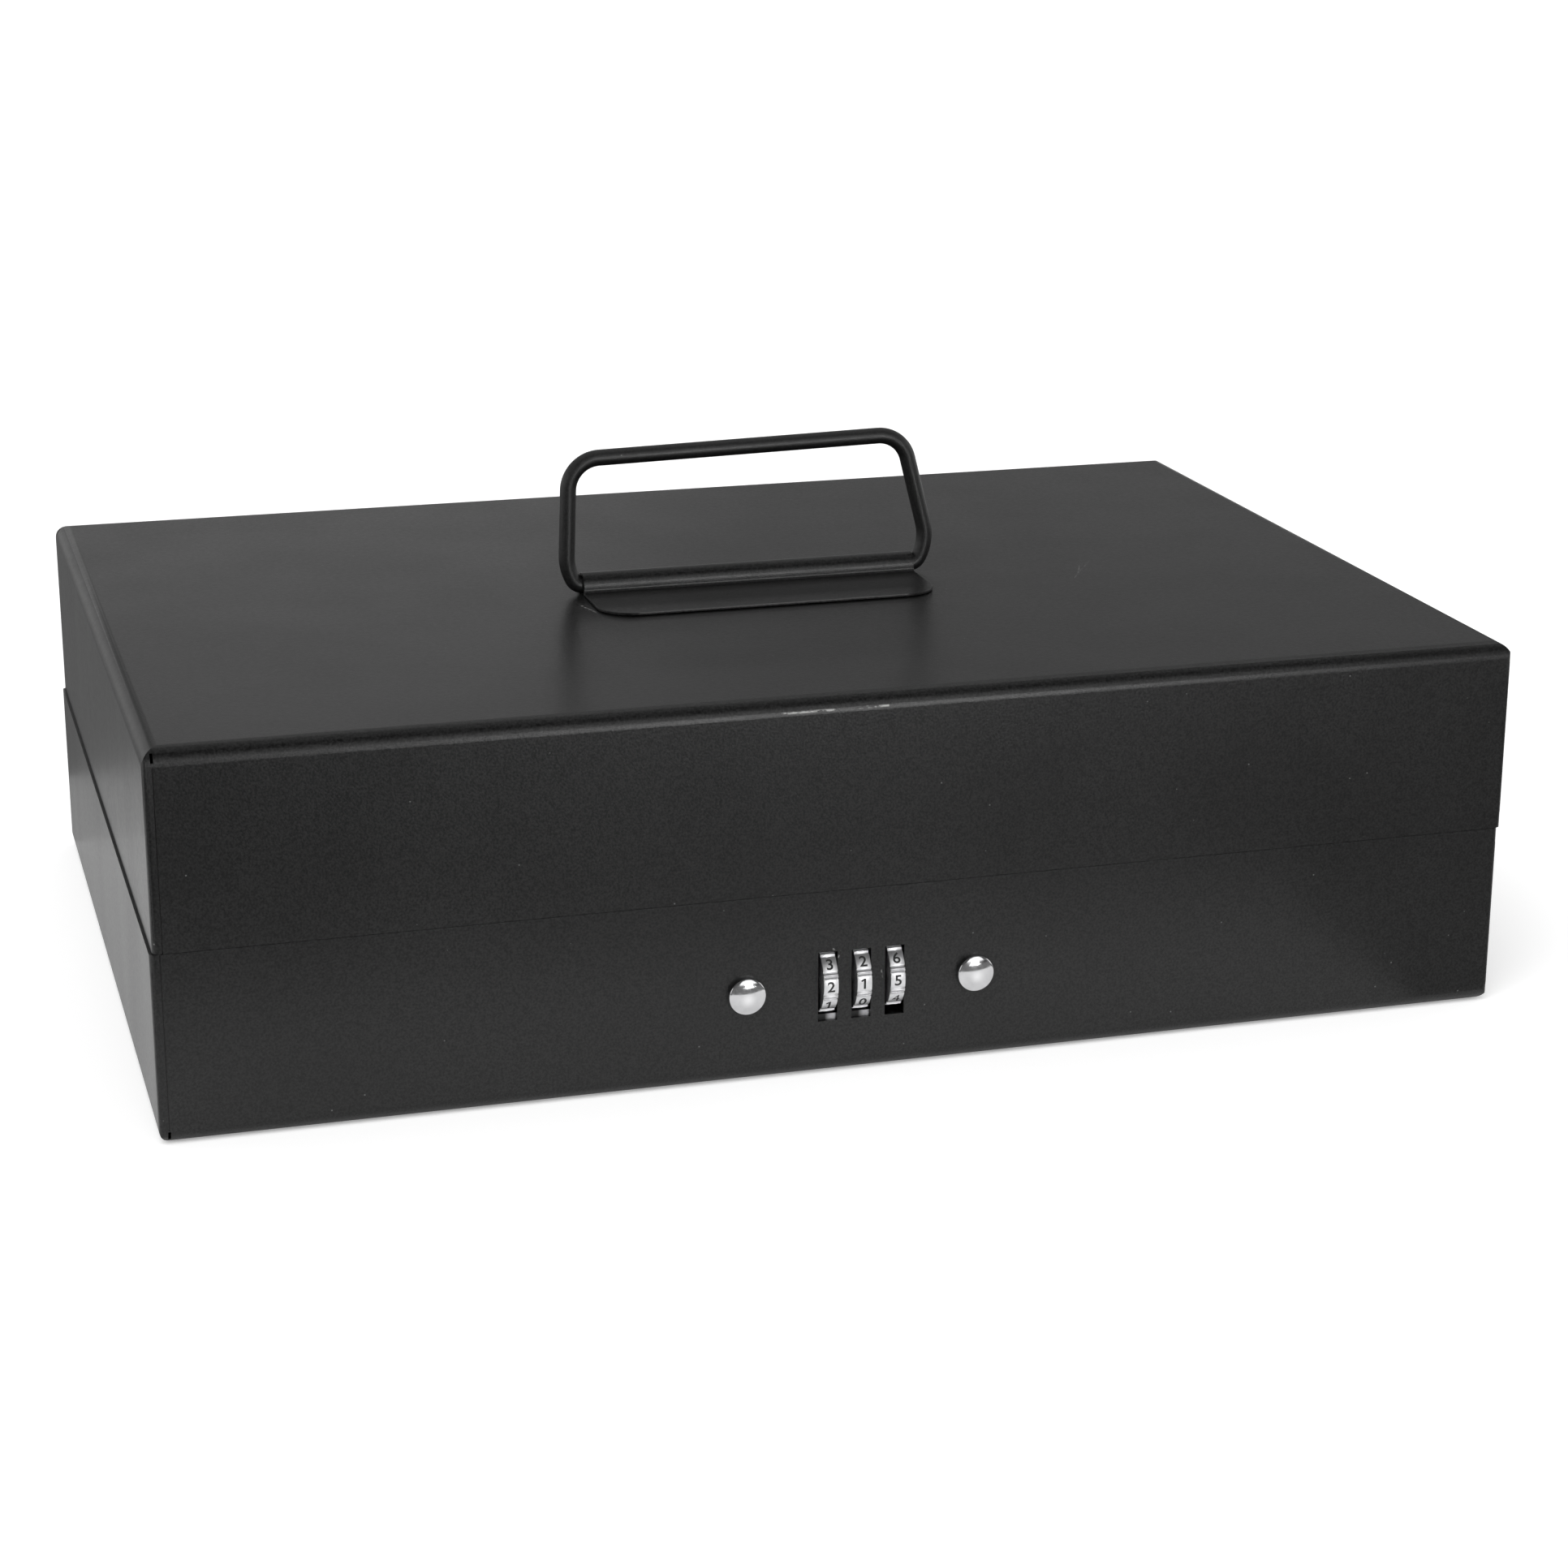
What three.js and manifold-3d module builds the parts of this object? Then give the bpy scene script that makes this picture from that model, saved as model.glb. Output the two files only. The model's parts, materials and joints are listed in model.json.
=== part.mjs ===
// A folded-steel medication lock box with a carrying handle and a three-dial combination lock.
// Millimetres, +Z up, +X to the right, the front facing -Y. The box stands on z = 0.
import * as THREE from 'three';
import { mergeVertices } from 'three/addons/utils/BufferGeometryUtils.js';
import Module from 'manifold-3d';

const wasm = await Module();
wasm.setup();

// Driving sizes of the box
const boxWidth = 360;
const boxDepth = 245;
const boxHeight = 101.2;
const seamHeight = 50;
const seamGap = 0.3;
const sheet = 0.8;
const lidPlay = 1;
const lidShift = 0.7;
const rimRise = 8;
const topBend = 4.4;
const bottomBend = 3.8;
const cornerBend = 1.6;
const flangeWidth = 12;
const flangeTopGap = 4;

// Driving sizes of the seams that the folding leaves at the corners
const seamInset = 2.5;
const seamWidth = 0.25;
const seamDepthShare = 0.35;
const reliefStart = 1.2;
const reliefHeight = 2.2;
const reliefWidth = 0.7;

// Gaps shared by all pieces
const seat = 0.25;
const runningGap = 0.3;
const overrun = 1;

// Driving sizes of the handle
const handleX = 3;
const handleY = -4.2;
const wireDiameter = 4.5;
const bailHeight = 36.7;
const bailTopHalfWidth = 48.25;
const bailTopShift = -3.05;
const bailTopRise = 2.1;
const bailFootHalfWidth = 52.3;
const bailTopBend = 9;
const bailFootBend = 3.2;
const bailSweepBend = 14;
const bailFootTurn = THREE.MathUtils.degToRad(62);
const bailEndGap = 3;
const saddleHalfLength = 48.3;
const saddleGap = 0.45;
const saddleFrontFlange = 25;
const saddleRearFlange = 12;
const saddleSheet = 0.8;
const saddleCorner = 10;
const saddleFillet = 0.9;

// Driving sizes of the hinges
const hingeEndDistance = 70;
const hingeLength = 38;
const knuckleCount = 3;
const knuckleGap = 0.4;
const barrelRadius = 2.5;
const pinRadius = 1.3;
const leafHeight = 16;

// Driving sizes of the dials and of the slots that they turn in
const dialCount = 3;
const dialPitch = 9;
const dialRadius = 9.7;
const dialThickness = 3.9;
const dialSetback = 6.3;
const dialHeight = 24.8;
const digitCount = 10;
const slotWidth = 5.2;
const slotHeight = 18.9;
const slotTopGap = 0.5;
const faceRadiusShare = 0.979;
const grooveRadiusShare = 0.955;
const middleGrooveRadiusShare = 0.97;
const faceArcShare = 0.335;

// Driving sizes of the tumblers and their axle
const axleRadius = 1.2;
const axleHeadRadius = 2;
const axleHeadLength = 0.6;
const sleeveRadius = 2.6;
const keyRadius = 4;
const keyWidth = 1.2;
const keyNotch = 4;
const notchGap = 0.3;
const tumblerRadius = 5.2;
const tumblerThickness = 2;
const gateDepth = 1.9;
const gateWidth = 2.4;
const codeTravel = 2.2;

// Driving sizes of the lock case and its rivets
const casePlate = 1;
const caseHalfWidth = 25;
const caseTopGap = 2.3;
const caseBottomGap = 2.3;
const caseRearGap = 5;
const lipHeight = 4.2;
const lipPlate = 0.5;
const lipLeft = -14;
const lipRight = 4;
const earWidth = 12;
const earHeight = 20;
const rivetSpacing = 61.6;
const rivetHeadRadius = 4.9;
const rivetHeadHeight = 2.2;
const rivetShankRadius = 2;
const rivetTailRadius = 3.2;
const rivetTailHeight = 1.2;

// Driving sizes of the latch bolt and the catch on the lid
const boltTravel = 2;
const boltPlate = 1.2;
const boltHalfWidth = 21;
const boltFrontGap = 2.4;
const tongueHalfWidth = 3;
const tongueSlack = 0.7;
const fenceToothHeight = 1.6;
const fenceToothWidth = 4;
const fenceGap = 0.3;
const fenceWebGap = 0.6;
const windowBehind = 4.3;
const windowAhead = 5;
const windowSideGap = 0.7;
const catchPlate = 1;
const catchSetback = 9.9;
const catchHalfWidth = 6.5;
const catchHoleGap = 0.6;
const catchToe = 2.4;
const catchWeldHeight = 14;
const catchWeldClear = 5;
const catchSlope = 10;
const studOffset = 17;
const studShoulderRadius = 2;
const studShankRadius = 1.2;
const studHeadRadius = 3.4;
const studHeadHeight = 1;
const studTailRadius = 2.2;
const studTailHeight = 0.8;

// Driving sizes of the springs and of the code change slide
const springWire = 0.7;
const stackSpringRadius = 2.6;
const stackSpringTurns = 5;
const latchSpringRadius = 1.8;
const latchSpringTurns = 7;
const latchSpringOffset = 10.8;
const springLugWidth = 5;
const springLugHeight = 6.7;
const springNibRadius = 1.1;
const springNibLength = 2.5;
const forkRadius = 4.6;
const forkPlate = 1;
const slideArmHeight = 6;
const slideTabLength = 12;
const slideLugReach = 5;
const detentSheet = 0.5;
const detentFingerWidth = 3;
const detentFoot = 5;
const detentNose = 2;

// Facets of round forms
const bendSides = 5;
const roundSides = 24;
const domeSides = 28;
const wireSides = 12;
const springSides = 6;
const springTurnSteps = 10;
const wireBendSteps = 6;

// Values that follow from the sizes above
const rimInset = sheet + lidPlay;
const shelfHeight = seamHeight - seamGap;
const rimHeight = seamHeight + rimRise;
const lidHeight = boxHeight - seamHeight;
const frontOuter = -boxDepth / 2;
const frontInner = frontOuter + sheet;
const axisY = frontOuter + dialSetback;
const axisZ = dialHeight;
const slotChord = Math.sqrt(dialRadius ** 2 - (dialSetback - sheet) ** 2);
const slotTop = axisZ + slotChord + slotTopGap;
const slotMiddle = slotTop - slotHeight / 2;
const dialPlaces = Array.from({ length: dialCount }, (_, i) => (i - (dialCount - 1) / 2) * dialPitch);
const dialGap = dialPitch - dialThickness;

const caseTopInner = axisZ + dialRadius + caseTopGap;
const caseTop = caseTopInner + casePlate;
const caseBottomInner = axisZ - dialRadius - caseBottomGap;
const caseBottom = caseBottomInner - casePlate;
const caseRearInner = axisY + dialRadius + caseRearGap;
const caseRear = caseRearInner + casePlate;
const caseFront = frontInner + seat;
const sideInner = caseHalfWidth - casePlate;

const boltBottom = caseTop + runningGap;
const boltTop = boltBottom + boltPlate;
const catchFront = frontOuter + catchSetback;
const catchRear = catchFront + catchPlate;
const tongueTip = catchFront - tongueSlack;
const boltFront = frontInner + boltFrontGap;
const windowFront = catchFront - windowAhead;
const windowRear = catchRear + windowBehind;
const windowHalfWidth = catchHalfWidth + windowSideGap;
const fenceTip = axisY + tumblerRadius - gateDepth + fenceGap;
const webFront = axisY + dialRadius + fenceWebGap;
const webRear = webFront + boltPlate;
const toothSideGap = (dialGap - fenceToothWidth) / 2;
const toothStart = dialThickness / 2 + toothSideGap;
const webLeft = dialPlaces[0] + toothStart;
const webRight = dialPlaces[dialCount - 1] + toothStart + fenceToothWidth;

const lugY = windowRear - boltPlate;
const springAxisZ = boltTop + runningGap + latchSpringRadius + springWire / 2;
const studY = (boltFront + webRear) / 2;

const dialFace = dialThickness / 2 + runningGap;
const discStart = dialFace + codeTravel;
const discEnd = discStart + tumblerThickness;
const sleeveStart = discEnd + runningGap - dialPitch;
const forkRight = dialPlaces[0] + sleeveStart - runningGap;
const forkLeft = forkRight - forkPlate;
const stackEnd = dialPlaces[dialCount - 1] + discEnd + runningGap;

const wireRadius = wireDiameter / 2;
const bailAxisZ = boxHeight + runningGap + wireRadius;
const barrelY = boxDepth / 2 + seat + barrelRadius;
const leafThickness = barrelRadius - pinRadius - runningGap;
const hingeX = boxWidth / 2 - hingeEndDistance;

// Helpers that turn three.js forms into solids and back
function solid(geometry) {
  const bare = geometry.index ? geometry.toNonIndexed() : geometry.clone();
  bare.deleteAttribute('normal');
  bare.deleteAttribute('uv');
  const merged = mergeVertices(bare);
  const mesh = new wasm.Mesh({
    numProp: 3,
    vertProperties: new Float32Array(merged.attributes.position.array),
    triVerts: new Uint32Array(merged.index.array),
  });
  return new wasm.Manifold(mesh);
}

function geometryOf(form) {
  const mesh = form.getMesh();
  const geometry = new THREE.BufferGeometry();
  const corners = new Float32Array(mesh.vertProperties);
  geometry.setAttribute('position', new THREE.BufferAttribute(corners, mesh.numProp));
  geometry.setIndex(new THREE.BufferAttribute(new Uint32Array(mesh.triVerts), 1));
  geometry.computeVertexNormals();
  return geometry;
}

function joined(forms) {
  return forms.reduce((all, form) => all.add(form));
}

function cut(form, tools) {
  return tools.reduce((left, tool) => left.subtract(tool), form);
}

const alongX = new THREE.Matrix4().makeBasis(
  new THREE.Vector3(0, 1, 0), new THREE.Vector3(0, 0, 1), new THREE.Vector3(1, 0, 0));
const alongY = new THREE.Matrix4().makeBasis(
  new THREE.Vector3(1, 0, 0), new THREE.Vector3(0, 0, 1), new THREE.Vector3(0, -1, 0));
const latheToX = new THREE.Matrix4().makeBasis(
  new THREE.Vector3(0, -1, 0), new THREE.Vector3(1, 0, 0), new THREE.Vector3(0, 0, 1));
const latheToZ = new THREE.Matrix4().makeBasis(
  new THREE.Vector3(1, 0, 0), new THREE.Vector3(0, 0, 1), new THREE.Vector3(0, -1, 0));

function extruded(shape, length, sides) {
  return new THREE.ExtrudeGeometry(shape, { depth: length, bevelEnabled: false, curveSegments: sides });
}

// A shape drawn in (y, z) and drawn out from x0 to x1
function prismX(shape, x0, x1, sides = bendSides) {
  return solid(extruded(shape, x1 - x0, sides).applyMatrix4(alongX).translate(x0, 0, 0));
}

// A shape drawn in (x, z) and drawn out from y0 to y1
function prismY(shape, y0, y1, sides = bendSides) {
  return solid(extruded(shape, y1 - y0, sides).applyMatrix4(alongY).translate(0, y1, 0));
}

// A shape drawn in (x, y) and drawn out from z0 to z1
function prismZ(shape, z0, z1, sides = bendSides) {
  return solid(extruded(shape, z1 - z0, sides).translate(0, 0, z0));
}

function block(x0, x1, y0, y1, z0, z1) {
  const form = new THREE.BoxGeometry(x1 - x0, y1 - y0, z1 - z0);
  return solid(form.translate((x0 + x1) / 2, (y0 + y1) / 2, (z0 + z1) / 2));
}

function ordered(a, b) {
  return a < b ? [a, b] : [b, a];
}

function polygon(points) {
  return new THREE.Shape(points.map(([u, v]) => new THREE.Vector2(u, v)));
}

function circle(u, v, radius) {
  const shape = new THREE.Shape();
  shape.absarc(u, v, radius, 0, 2 * Math.PI, false);
  return shape;
}

function roundedRectangle(u0, u1, v0, v1, radius) {
  const shape = new THREE.Shape();
  shape.absarc(u1 - radius, v0 + radius, radius, -Math.PI / 2, 0, false);
  shape.absarc(u1 - radius, v1 - radius, radius, 0, Math.PI / 2, false);
  shape.absarc(u0 + radius, v1 - radius, radius, Math.PI / 2, Math.PI, false);
  shape.absarc(u0 + radius, v0 + radius, radius, Math.PI, 1.5 * Math.PI, false);
  return shape;
}

// A profile of [radius, height] points, turned about the lathe's own axis
function turned(profile, matrix, x, y, z, sides = roundSides) {
  const points = profile.map(([r, h]) => new THREE.Vector2(r, h));
  const form = new THREE.LatheGeometry(points, sides);
  if (matrix) form.applyMatrix4(matrix);
  return solid(form.translate(x, y, z));
}

function rodX(radius, x0, x1, y, z, sides = roundSides) {
  return turned([[0, x0], [radius, x0], [radius, x1], [0, x1]], latheToX, 0, y, z, sides);
}

function rodY(radius, y0, y1, x, z, sides = roundSides) {
  return turned([[0, y0], [radius, y0], [radius, y1], [0, y1]], null, x, 0, z, sides);
}

function rodZ(radius, z0, z1, x, y, sides = roundSides) {
  return turned([[0, z0], [radius, z0], [radius, z1], [0, z1]], latheToZ, x, y, 0, sides);
}

// Round wire whose centre runs through the points given, one ring of the surface at each point
class WirePath extends THREE.Curve {
  constructor(points) {
    super();
    this.points = points;
  }

  nearest(t) {
    return Math.round(t * (this.points.length - 1));
  }

  getPointAt(t) {
    return this.points[this.nearest(t)].clone();
  }

  getTangentAt(t) {
    const i = this.nearest(t);
    const before = this.points[Math.max(i - 1, 0)];
    const after = this.points[Math.min(i + 1, this.points.length - 1)];
    const here = this.points[i];
    const arriving = i > 0 ? here.clone().sub(before).normalize() : new THREE.Vector3();
    const leaving = here === after ? new THREE.Vector3() : after.clone().sub(here).normalize();
    return arriving.add(leaving).normalize();
  }
}

function wire(points, radius, sides) {
  return new THREE.ExtrudeGeometry(circle(0, 0, radius), {
    steps: points.length - 1,
    extrudePath: new WirePath(points),
    bevelEnabled: false,
    curveSegments: sides / 2,
  });
}

// A compression spring: round wire on a helix whose axis is local Z
function coil(radius, length, turns) {
  const rise = length - springWire;
  const steps = turns * springTurnSteps;
  const points = Array.from({ length: steps + 1 }, (_, i) => {
    const angle = 2 * Math.PI * turns * i / steps;
    return new THREE.Vector3(
      radius * Math.cos(angle), radius * Math.sin(angle), springWire / 2 + rise * i / steps);
  });
  return wire(points, springWire / 2, springSides);
}

// The folded sheet of the base and of the lid: a tray whose floor bends up into four walls
function bendProfile(width, height, radius) {
  const shape = new THREE.Shape();
  shape.moveTo(width / 2, height);
  shape.lineTo(-width / 2, height);
  shape.absarc(-width / 2 + radius, radius, radius, Math.PI, 1.5 * Math.PI, false);
  shape.absarc(width / 2 - radius, radius, radius, 1.5 * Math.PI, 2 * Math.PI, false);
  return shape;
}

function foldedForm(width, depth, height, bend, corner) {
  const plan = roundedRectangle(-width / 2, width / 2, -depth / 2, depth / 2, corner);
  const upright = prismZ(plan, 0, height);
  const across = prismX(bendProfile(depth, height, bend), -width / 2, width / 2);
  const lengthwise = prismY(bendProfile(width, height, bend), -depth / 2, depth / 2);
  return upright.intersect(across).intersect(lengthwise);
}

function foldedTray(width, depth, height, bend) {
  const outer = foldedForm(width, depth, height, bend, cornerBend);
  const inner = foldedForm(
    width - 2 * sheet, depth - 2 * sheet, height + overrun, bend - sheet, cornerBend - sheet);
  const wallFace = width / 2 - sheet;
  const endFace = depth / 2 - sheet;
  const flanges = [];
  for (const side of [-1, 1]) {
    for (const end of [-1, 1]) {
      const x = ordered(side * (wallFace - flangeWidth), side * (wallFace + sheet / 2));
      const y = ordered(end * (endFace - sheet), end * (endFace + sheet / 2));
      flanges.push(block(...x, ...y, bend + sheet, height - flangeTopGap));
    }
  }
  return joined([outer.subtract(inner.translate([0, 0, sheet])), ...flanges]);
}

// The seam at the left end of a front wall, where the folded side wall butts against it
function wallSeam(length, distance, height, bend) {
  const x = -length / 2 + seamInset;
  const outside = -distance - overrun;
  const groove = block(
    x - seamWidth / 2, x + seamWidth / 2, outside, -distance + sheet * seamDepthShare,
    bend, height + overrun);
  const relief = block(
    x - reliefWidth / 2, x + reliefWidth / 2, outside, -distance + bend,
    reliefStart, reliefStart + reliefHeight);
  return joined([groove, relief]);
}

// Each wall overlaps the next one round the box, so each has one seam, at its left end
function seamCuts(width, depth, height, bend) {
  const endWall = wallSeam(width, depth / 2, height, bend);
  const sideWall = wallSeam(depth, width / 2, height, bend).rotate([0, 0, 90]);
  return [endWall, sideWall].flatMap((wall) => [wall, wall.rotate([0, 0, 180])]);
}

// A ring that runs round inside the walls, between two distances from their outer faces
function wallRing(outerInset, innerInset, bottom, top) {
  const plan = (inset, corner) => roundedRectangle(
    -boxWidth / 2 + inset, boxWidth / 2 - inset, -boxDepth / 2 + inset, boxDepth / 2 - inset, corner);
  const hole = prismZ(plan(innerInset, cornerBend - sheet), bottom - overrun, top + overrun);
  return prismZ(plan(outerInset, cornerBend), bottom, top).subtract(hole);
}

// The base: its walls step in at the seam and rise as a rim inside the lid
function baseTray() {
  const tray = foldedTray(boxWidth, boxDepth, shelfHeight, bottomBend);
  const shelf = wallRing(0, rimInset + sheet, shelfHeight - sheet, shelfHeight);
  const rim = wallRing(rimInset, rimInset + sheet, shelfHeight - sheet, rimHeight);
  const wallFront = frontOuter - overrun;
  const wallBack = frontInner + overrun;
  const slots = dialPlaces.map((x) => block(
    x - slotWidth / 2, x + slotWidth / 2, wallFront, wallBack, slotTop - slotHeight, slotTop));
  const holes = [-1, 1].map((side) => rodY(
    rivetShankRadius + runningGap, wallFront, wallBack, side * rivetSpacing / 2, slotMiddle));
  const seams = seamCuts(boxWidth, boxDepth, shelfHeight, bottomBend);
  return cut(joined([tray, shelf, rim]), [...slots, ...holes, ...seams]);
}

// The lid is the same fold upside down; its corner flanges stop just above the rim
function lidCover() {
  const tray = foldedTray(boxWidth, boxDepth, lidHeight, topBend);
  const flangeCut = rimRise + runningGap;
  const rimSpace = block(
    -boxWidth / 2 + sheet, boxWidth / 2 - sheet, -boxDepth / 2 + sheet, boxDepth / 2 - sheet,
    lidHeight - flangeCut, lidHeight + overrun);
  const seams = seamCuts(boxWidth, boxDepth, lidHeight, topBend).map((seam) => seam.mirror([1, 0, 0]));
  return cut(tray, [rimSpace, ...seams]).rotate([180, 0, 0]).translate([0, 0, boxHeight]);
}

// The saddle: a strip pressed into a tunnel over the handle's wire, with a flange on either side
function handleSaddle() {
  const tunnel = wireRadius + saddleGap;
  const outer = tunnel + saddleSheet;
  const bottom = boxHeight + seat;
  const top = bottom + saddleSheet;
  const front = -(outer + saddleFrontFlange);
  const back = outer + saddleRearFlange;
  const profile = new THREE.Shape();
  profile.moveTo(front, bottom);
  profile.lineTo(-tunnel, bottom);
  profile.absarc(0, bailAxisZ, tunnel, Math.PI, 0, true);
  profile.lineTo(tunnel, bottom);
  profile.lineTo(back, bottom);
  profile.lineTo(back, top);
  profile.absarc(outer + saddleFillet, top + saddleFillet, saddleFillet, 1.5 * Math.PI, Math.PI, true);
  profile.absarc(0, bailAxisZ, outer, 0, Math.PI, false);
  profile.absarc(-outer - saddleFillet, top + saddleFillet, saddleFillet, 0, -Math.PI / 2, true);
  profile.lineTo(front, top);
  const strip = prismX(profile, -saddleHalfLength, saddleHalfLength, roundSides / 3);
  const plan = roundedRectangle(-saddleHalfLength, saddleHalfLength, front, back, saddleCorner);
  return strip.intersect(prismZ(plan, boxHeight, bailAxisZ + outer + overrun));
}

// The bail: one wire bent round its top corners and swept in at the feet, its ends inside the saddle.
// Its top bar lies a little to the left of its feet, and higher at the right end.
function bailHalf(side) {
  const height = bailHeight + side * bailTopRise / 2;
  const topHalfWidth = bailTopHalfWidth + side * bailTopShift;
  const slope = Math.atan2(bailTopRise, 2 * bailTopHalfWidth);
  const footX = bailFootHalfWidth - bailSweepBend * (1 - Math.sin(bailFootTurn));
  const straightX = footX - bailFootBend * Math.sin(bailFootTurn);
  const legZ = bailFootBend * (1 - Math.cos(bailFootTurn)) + bailSweepBend * Math.cos(bailFootTurn);
  const lean = Math.atan2(bailFootHalfWidth - topHalfWidth, height - legZ);
  const topTurn = Math.PI / 2 - side * slope;
  const setback = bailTopBend * Math.tan((topTurn - lean) / 2);
  const cornerX = topHalfWidth - setback * Math.cos(slope) - bailTopBend * Math.cos(topTurn);
  const cornerZ = height - side * setback * Math.sin(slope) - bailTopBend * Math.sin(topTurn);
  const sweepStart = -Math.PI / 2 + bailFootTurn;
  return [
    new THREE.Vector3(bailEndGap / 2, 0, 0),
    ...arcPoints(straightX, bailFootBend, bailFootBend, -Math.PI / 2, sweepStart),
    ...arcPoints(bailFootHalfWidth - bailSweepBend, legZ, bailSweepBend, sweepStart, lean).slice(1),
    ...arcPoints(cornerX, cornerZ, bailTopBend, lean, topTurn),
  ];
}

function bailPath() {
  const left = bailHalf(-1).map((point) => new THREE.Vector3(-point.x, point.y, point.z)).reverse();
  return [...bailHalf(1), ...left];
}

function arcPoints(x, z, radius, from, to) {
  const points = [];
  for (let i = 0; i <= wireBendSteps; i += 1) {
    const angle = from + (to - from) * i / wireBendSteps;
    points.push(new THREE.Vector3(x + radius * Math.cos(angle), 0, z + radius * Math.sin(angle)));
  }
  return points;
}

function handleBail() {
  return wire(bailPath(), wireRadius, wireSides);
}

// Hinges: two strips curled round a pin, one on the base's back wall and one on the lid's
function knuckles() {
  const pitch = (hingeLength + knuckleGap) / knuckleCount;
  return Array.from({ length: knuckleCount }, (_, i) => {
    const start = -hingeLength / 2 + i * pitch;
    return { start, end: start + pitch - knuckleGap, onLid: i % 2 === 1 };
  });
}

function curl(start, end, strip) {
  const ring = circle(barrelY, seamHeight, barrelRadius);
  ring.holes.push(circle(barrelY, seamHeight, pinRadius + runningGap));
  const hole = rodX(pinRadius + runningGap, start - overrun, end + overrun, barrelY, seamHeight);
  return joined([prismX(ring, start, end, roundSides / 2), prismX(strip, start, end)]).subtract(hole);
}

function hingeLeaf(onLid) {
  const way = onLid ? 1 : -1;
  const inner = barrelY - barrelRadius;
  const outer = inner + leafThickness;
  const clear = seamHeight + way * (barrelRadius + runningGap);
  const strip = polygon([[inner, seamHeight], [outer, seamHeight], [outer, clear], [inner, clear]]);
  const plate = block(
    -hingeLength / 2, hingeLength / 2, inner, outer, ...ordered(clear, seamHeight + way * leafHeight));
  const curls = knuckles().filter((k) => k.onLid === onLid).map((k) => curl(k.start, k.end, strip));
  return joined([plate, ...curls]);
}

function hingePin() {
  return rodX(pinRadius, -hingeLength / 2, hingeLength / 2, barrelY, seamHeight);
}

// A dial: ten flat faces for the digits, parted by pairs of fine ribs, and a notched bore
function dialOutline() {
  const pitch = 2 * Math.PI / digitCount;
  const face = dialRadius * faceRadiusShare;
  const groove = dialRadius * grooveRadiusShare;
  const middle = dialRadius * middleGrooveRadiusShare;
  const stepShares = [0.355, 0.4, 0.42, 0.462, 0.478];
  const steps = [groove, groove, dialRadius, dialRadius, middle];
  const arc = [[faceArcShare / 2, face], [faceArcShare, face]];
  const side = [...arc, ...stepShares.map((share, i) => [share, steps[i]])];
  const corner = [[0, face], ...side, ...side.map(([share, r]) => [1 - share, r]).reverse()];
  const points = [];
  for (let i = 0; i < digitCount; i += 1) {
    for (const [share, r] of corner) {
      const angle = (i + share) * pitch;
      points.push([axisY - r * Math.cos(angle), axisZ - r * Math.sin(angle)]);
    }
  }
  return polygon(points);
}

function notchedBore() {
  const bore = rodX(sleeveRadius + notchGap, -dialThickness, dialThickness, 0, 0);
  const reach = keyRadius + notchGap;
  const half = keyWidth / 2 + notchGap;
  const notches = Array.from({ length: digitCount }, (_, i) => block(
    -dialThickness, dialThickness, 0, reach, -half, half).rotate([360 * i / digitCount, 0, 0]));
  return joined([bore, ...notches]).translate([0, axisY, axisZ]);
}

function dial() {
  return prismX(dialOutline(), -dialThickness / 2, dialThickness / 2).subtract(notchedBore());
}

// A tumbler: a sleeve that carries the dial, a key that can enter its notches, and a gated disc.
// It stands shifted out of the dial, as it does while the code is being changed.
function tumbler() {
  const keyStart = dialFace + runningGap;
  const sleeve = rodX(sleeveRadius, sleeveStart, discEnd, axisY, axisZ);
  const disc = rodX(tumblerRadius, discStart, discEnd, axisY, axisZ, domeSides);
  const key = block(keyStart, discEnd, 0, keyRadius, -keyWidth / 2, keyWidth / 2)
    .rotate([360 * keyNotch / digitCount, 0, 0]).translate([0, axisY, axisZ]);
  const gate = block(
    discStart - overrun, discEnd + overrun, axisY + tumblerRadius - gateDepth,
    axisY + tumblerRadius + overrun, axisZ - gateWidth / 2, axisZ + gateWidth / 2);
  const bore = rodX(axleRadius + runningGap, sleeveStart - overrun, discEnd + overrun, axisY, axisZ);
  return cut(joined([sleeve, disc, key]), [gate, bore]);
}

function dialAxle() {
  const end = caseHalfWidth + seat;
  const head = end + axleHeadLength;
  return turned([
    [0, -head], [axleHeadRadius, -head], [axleHeadRadius, -end], [axleRadius, -end],
    [axleRadius, end], [axleHeadRadius, end], [axleHeadRadius, head], [0, head],
  ], latheToX, 0, axisY, axisZ);
}

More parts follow.
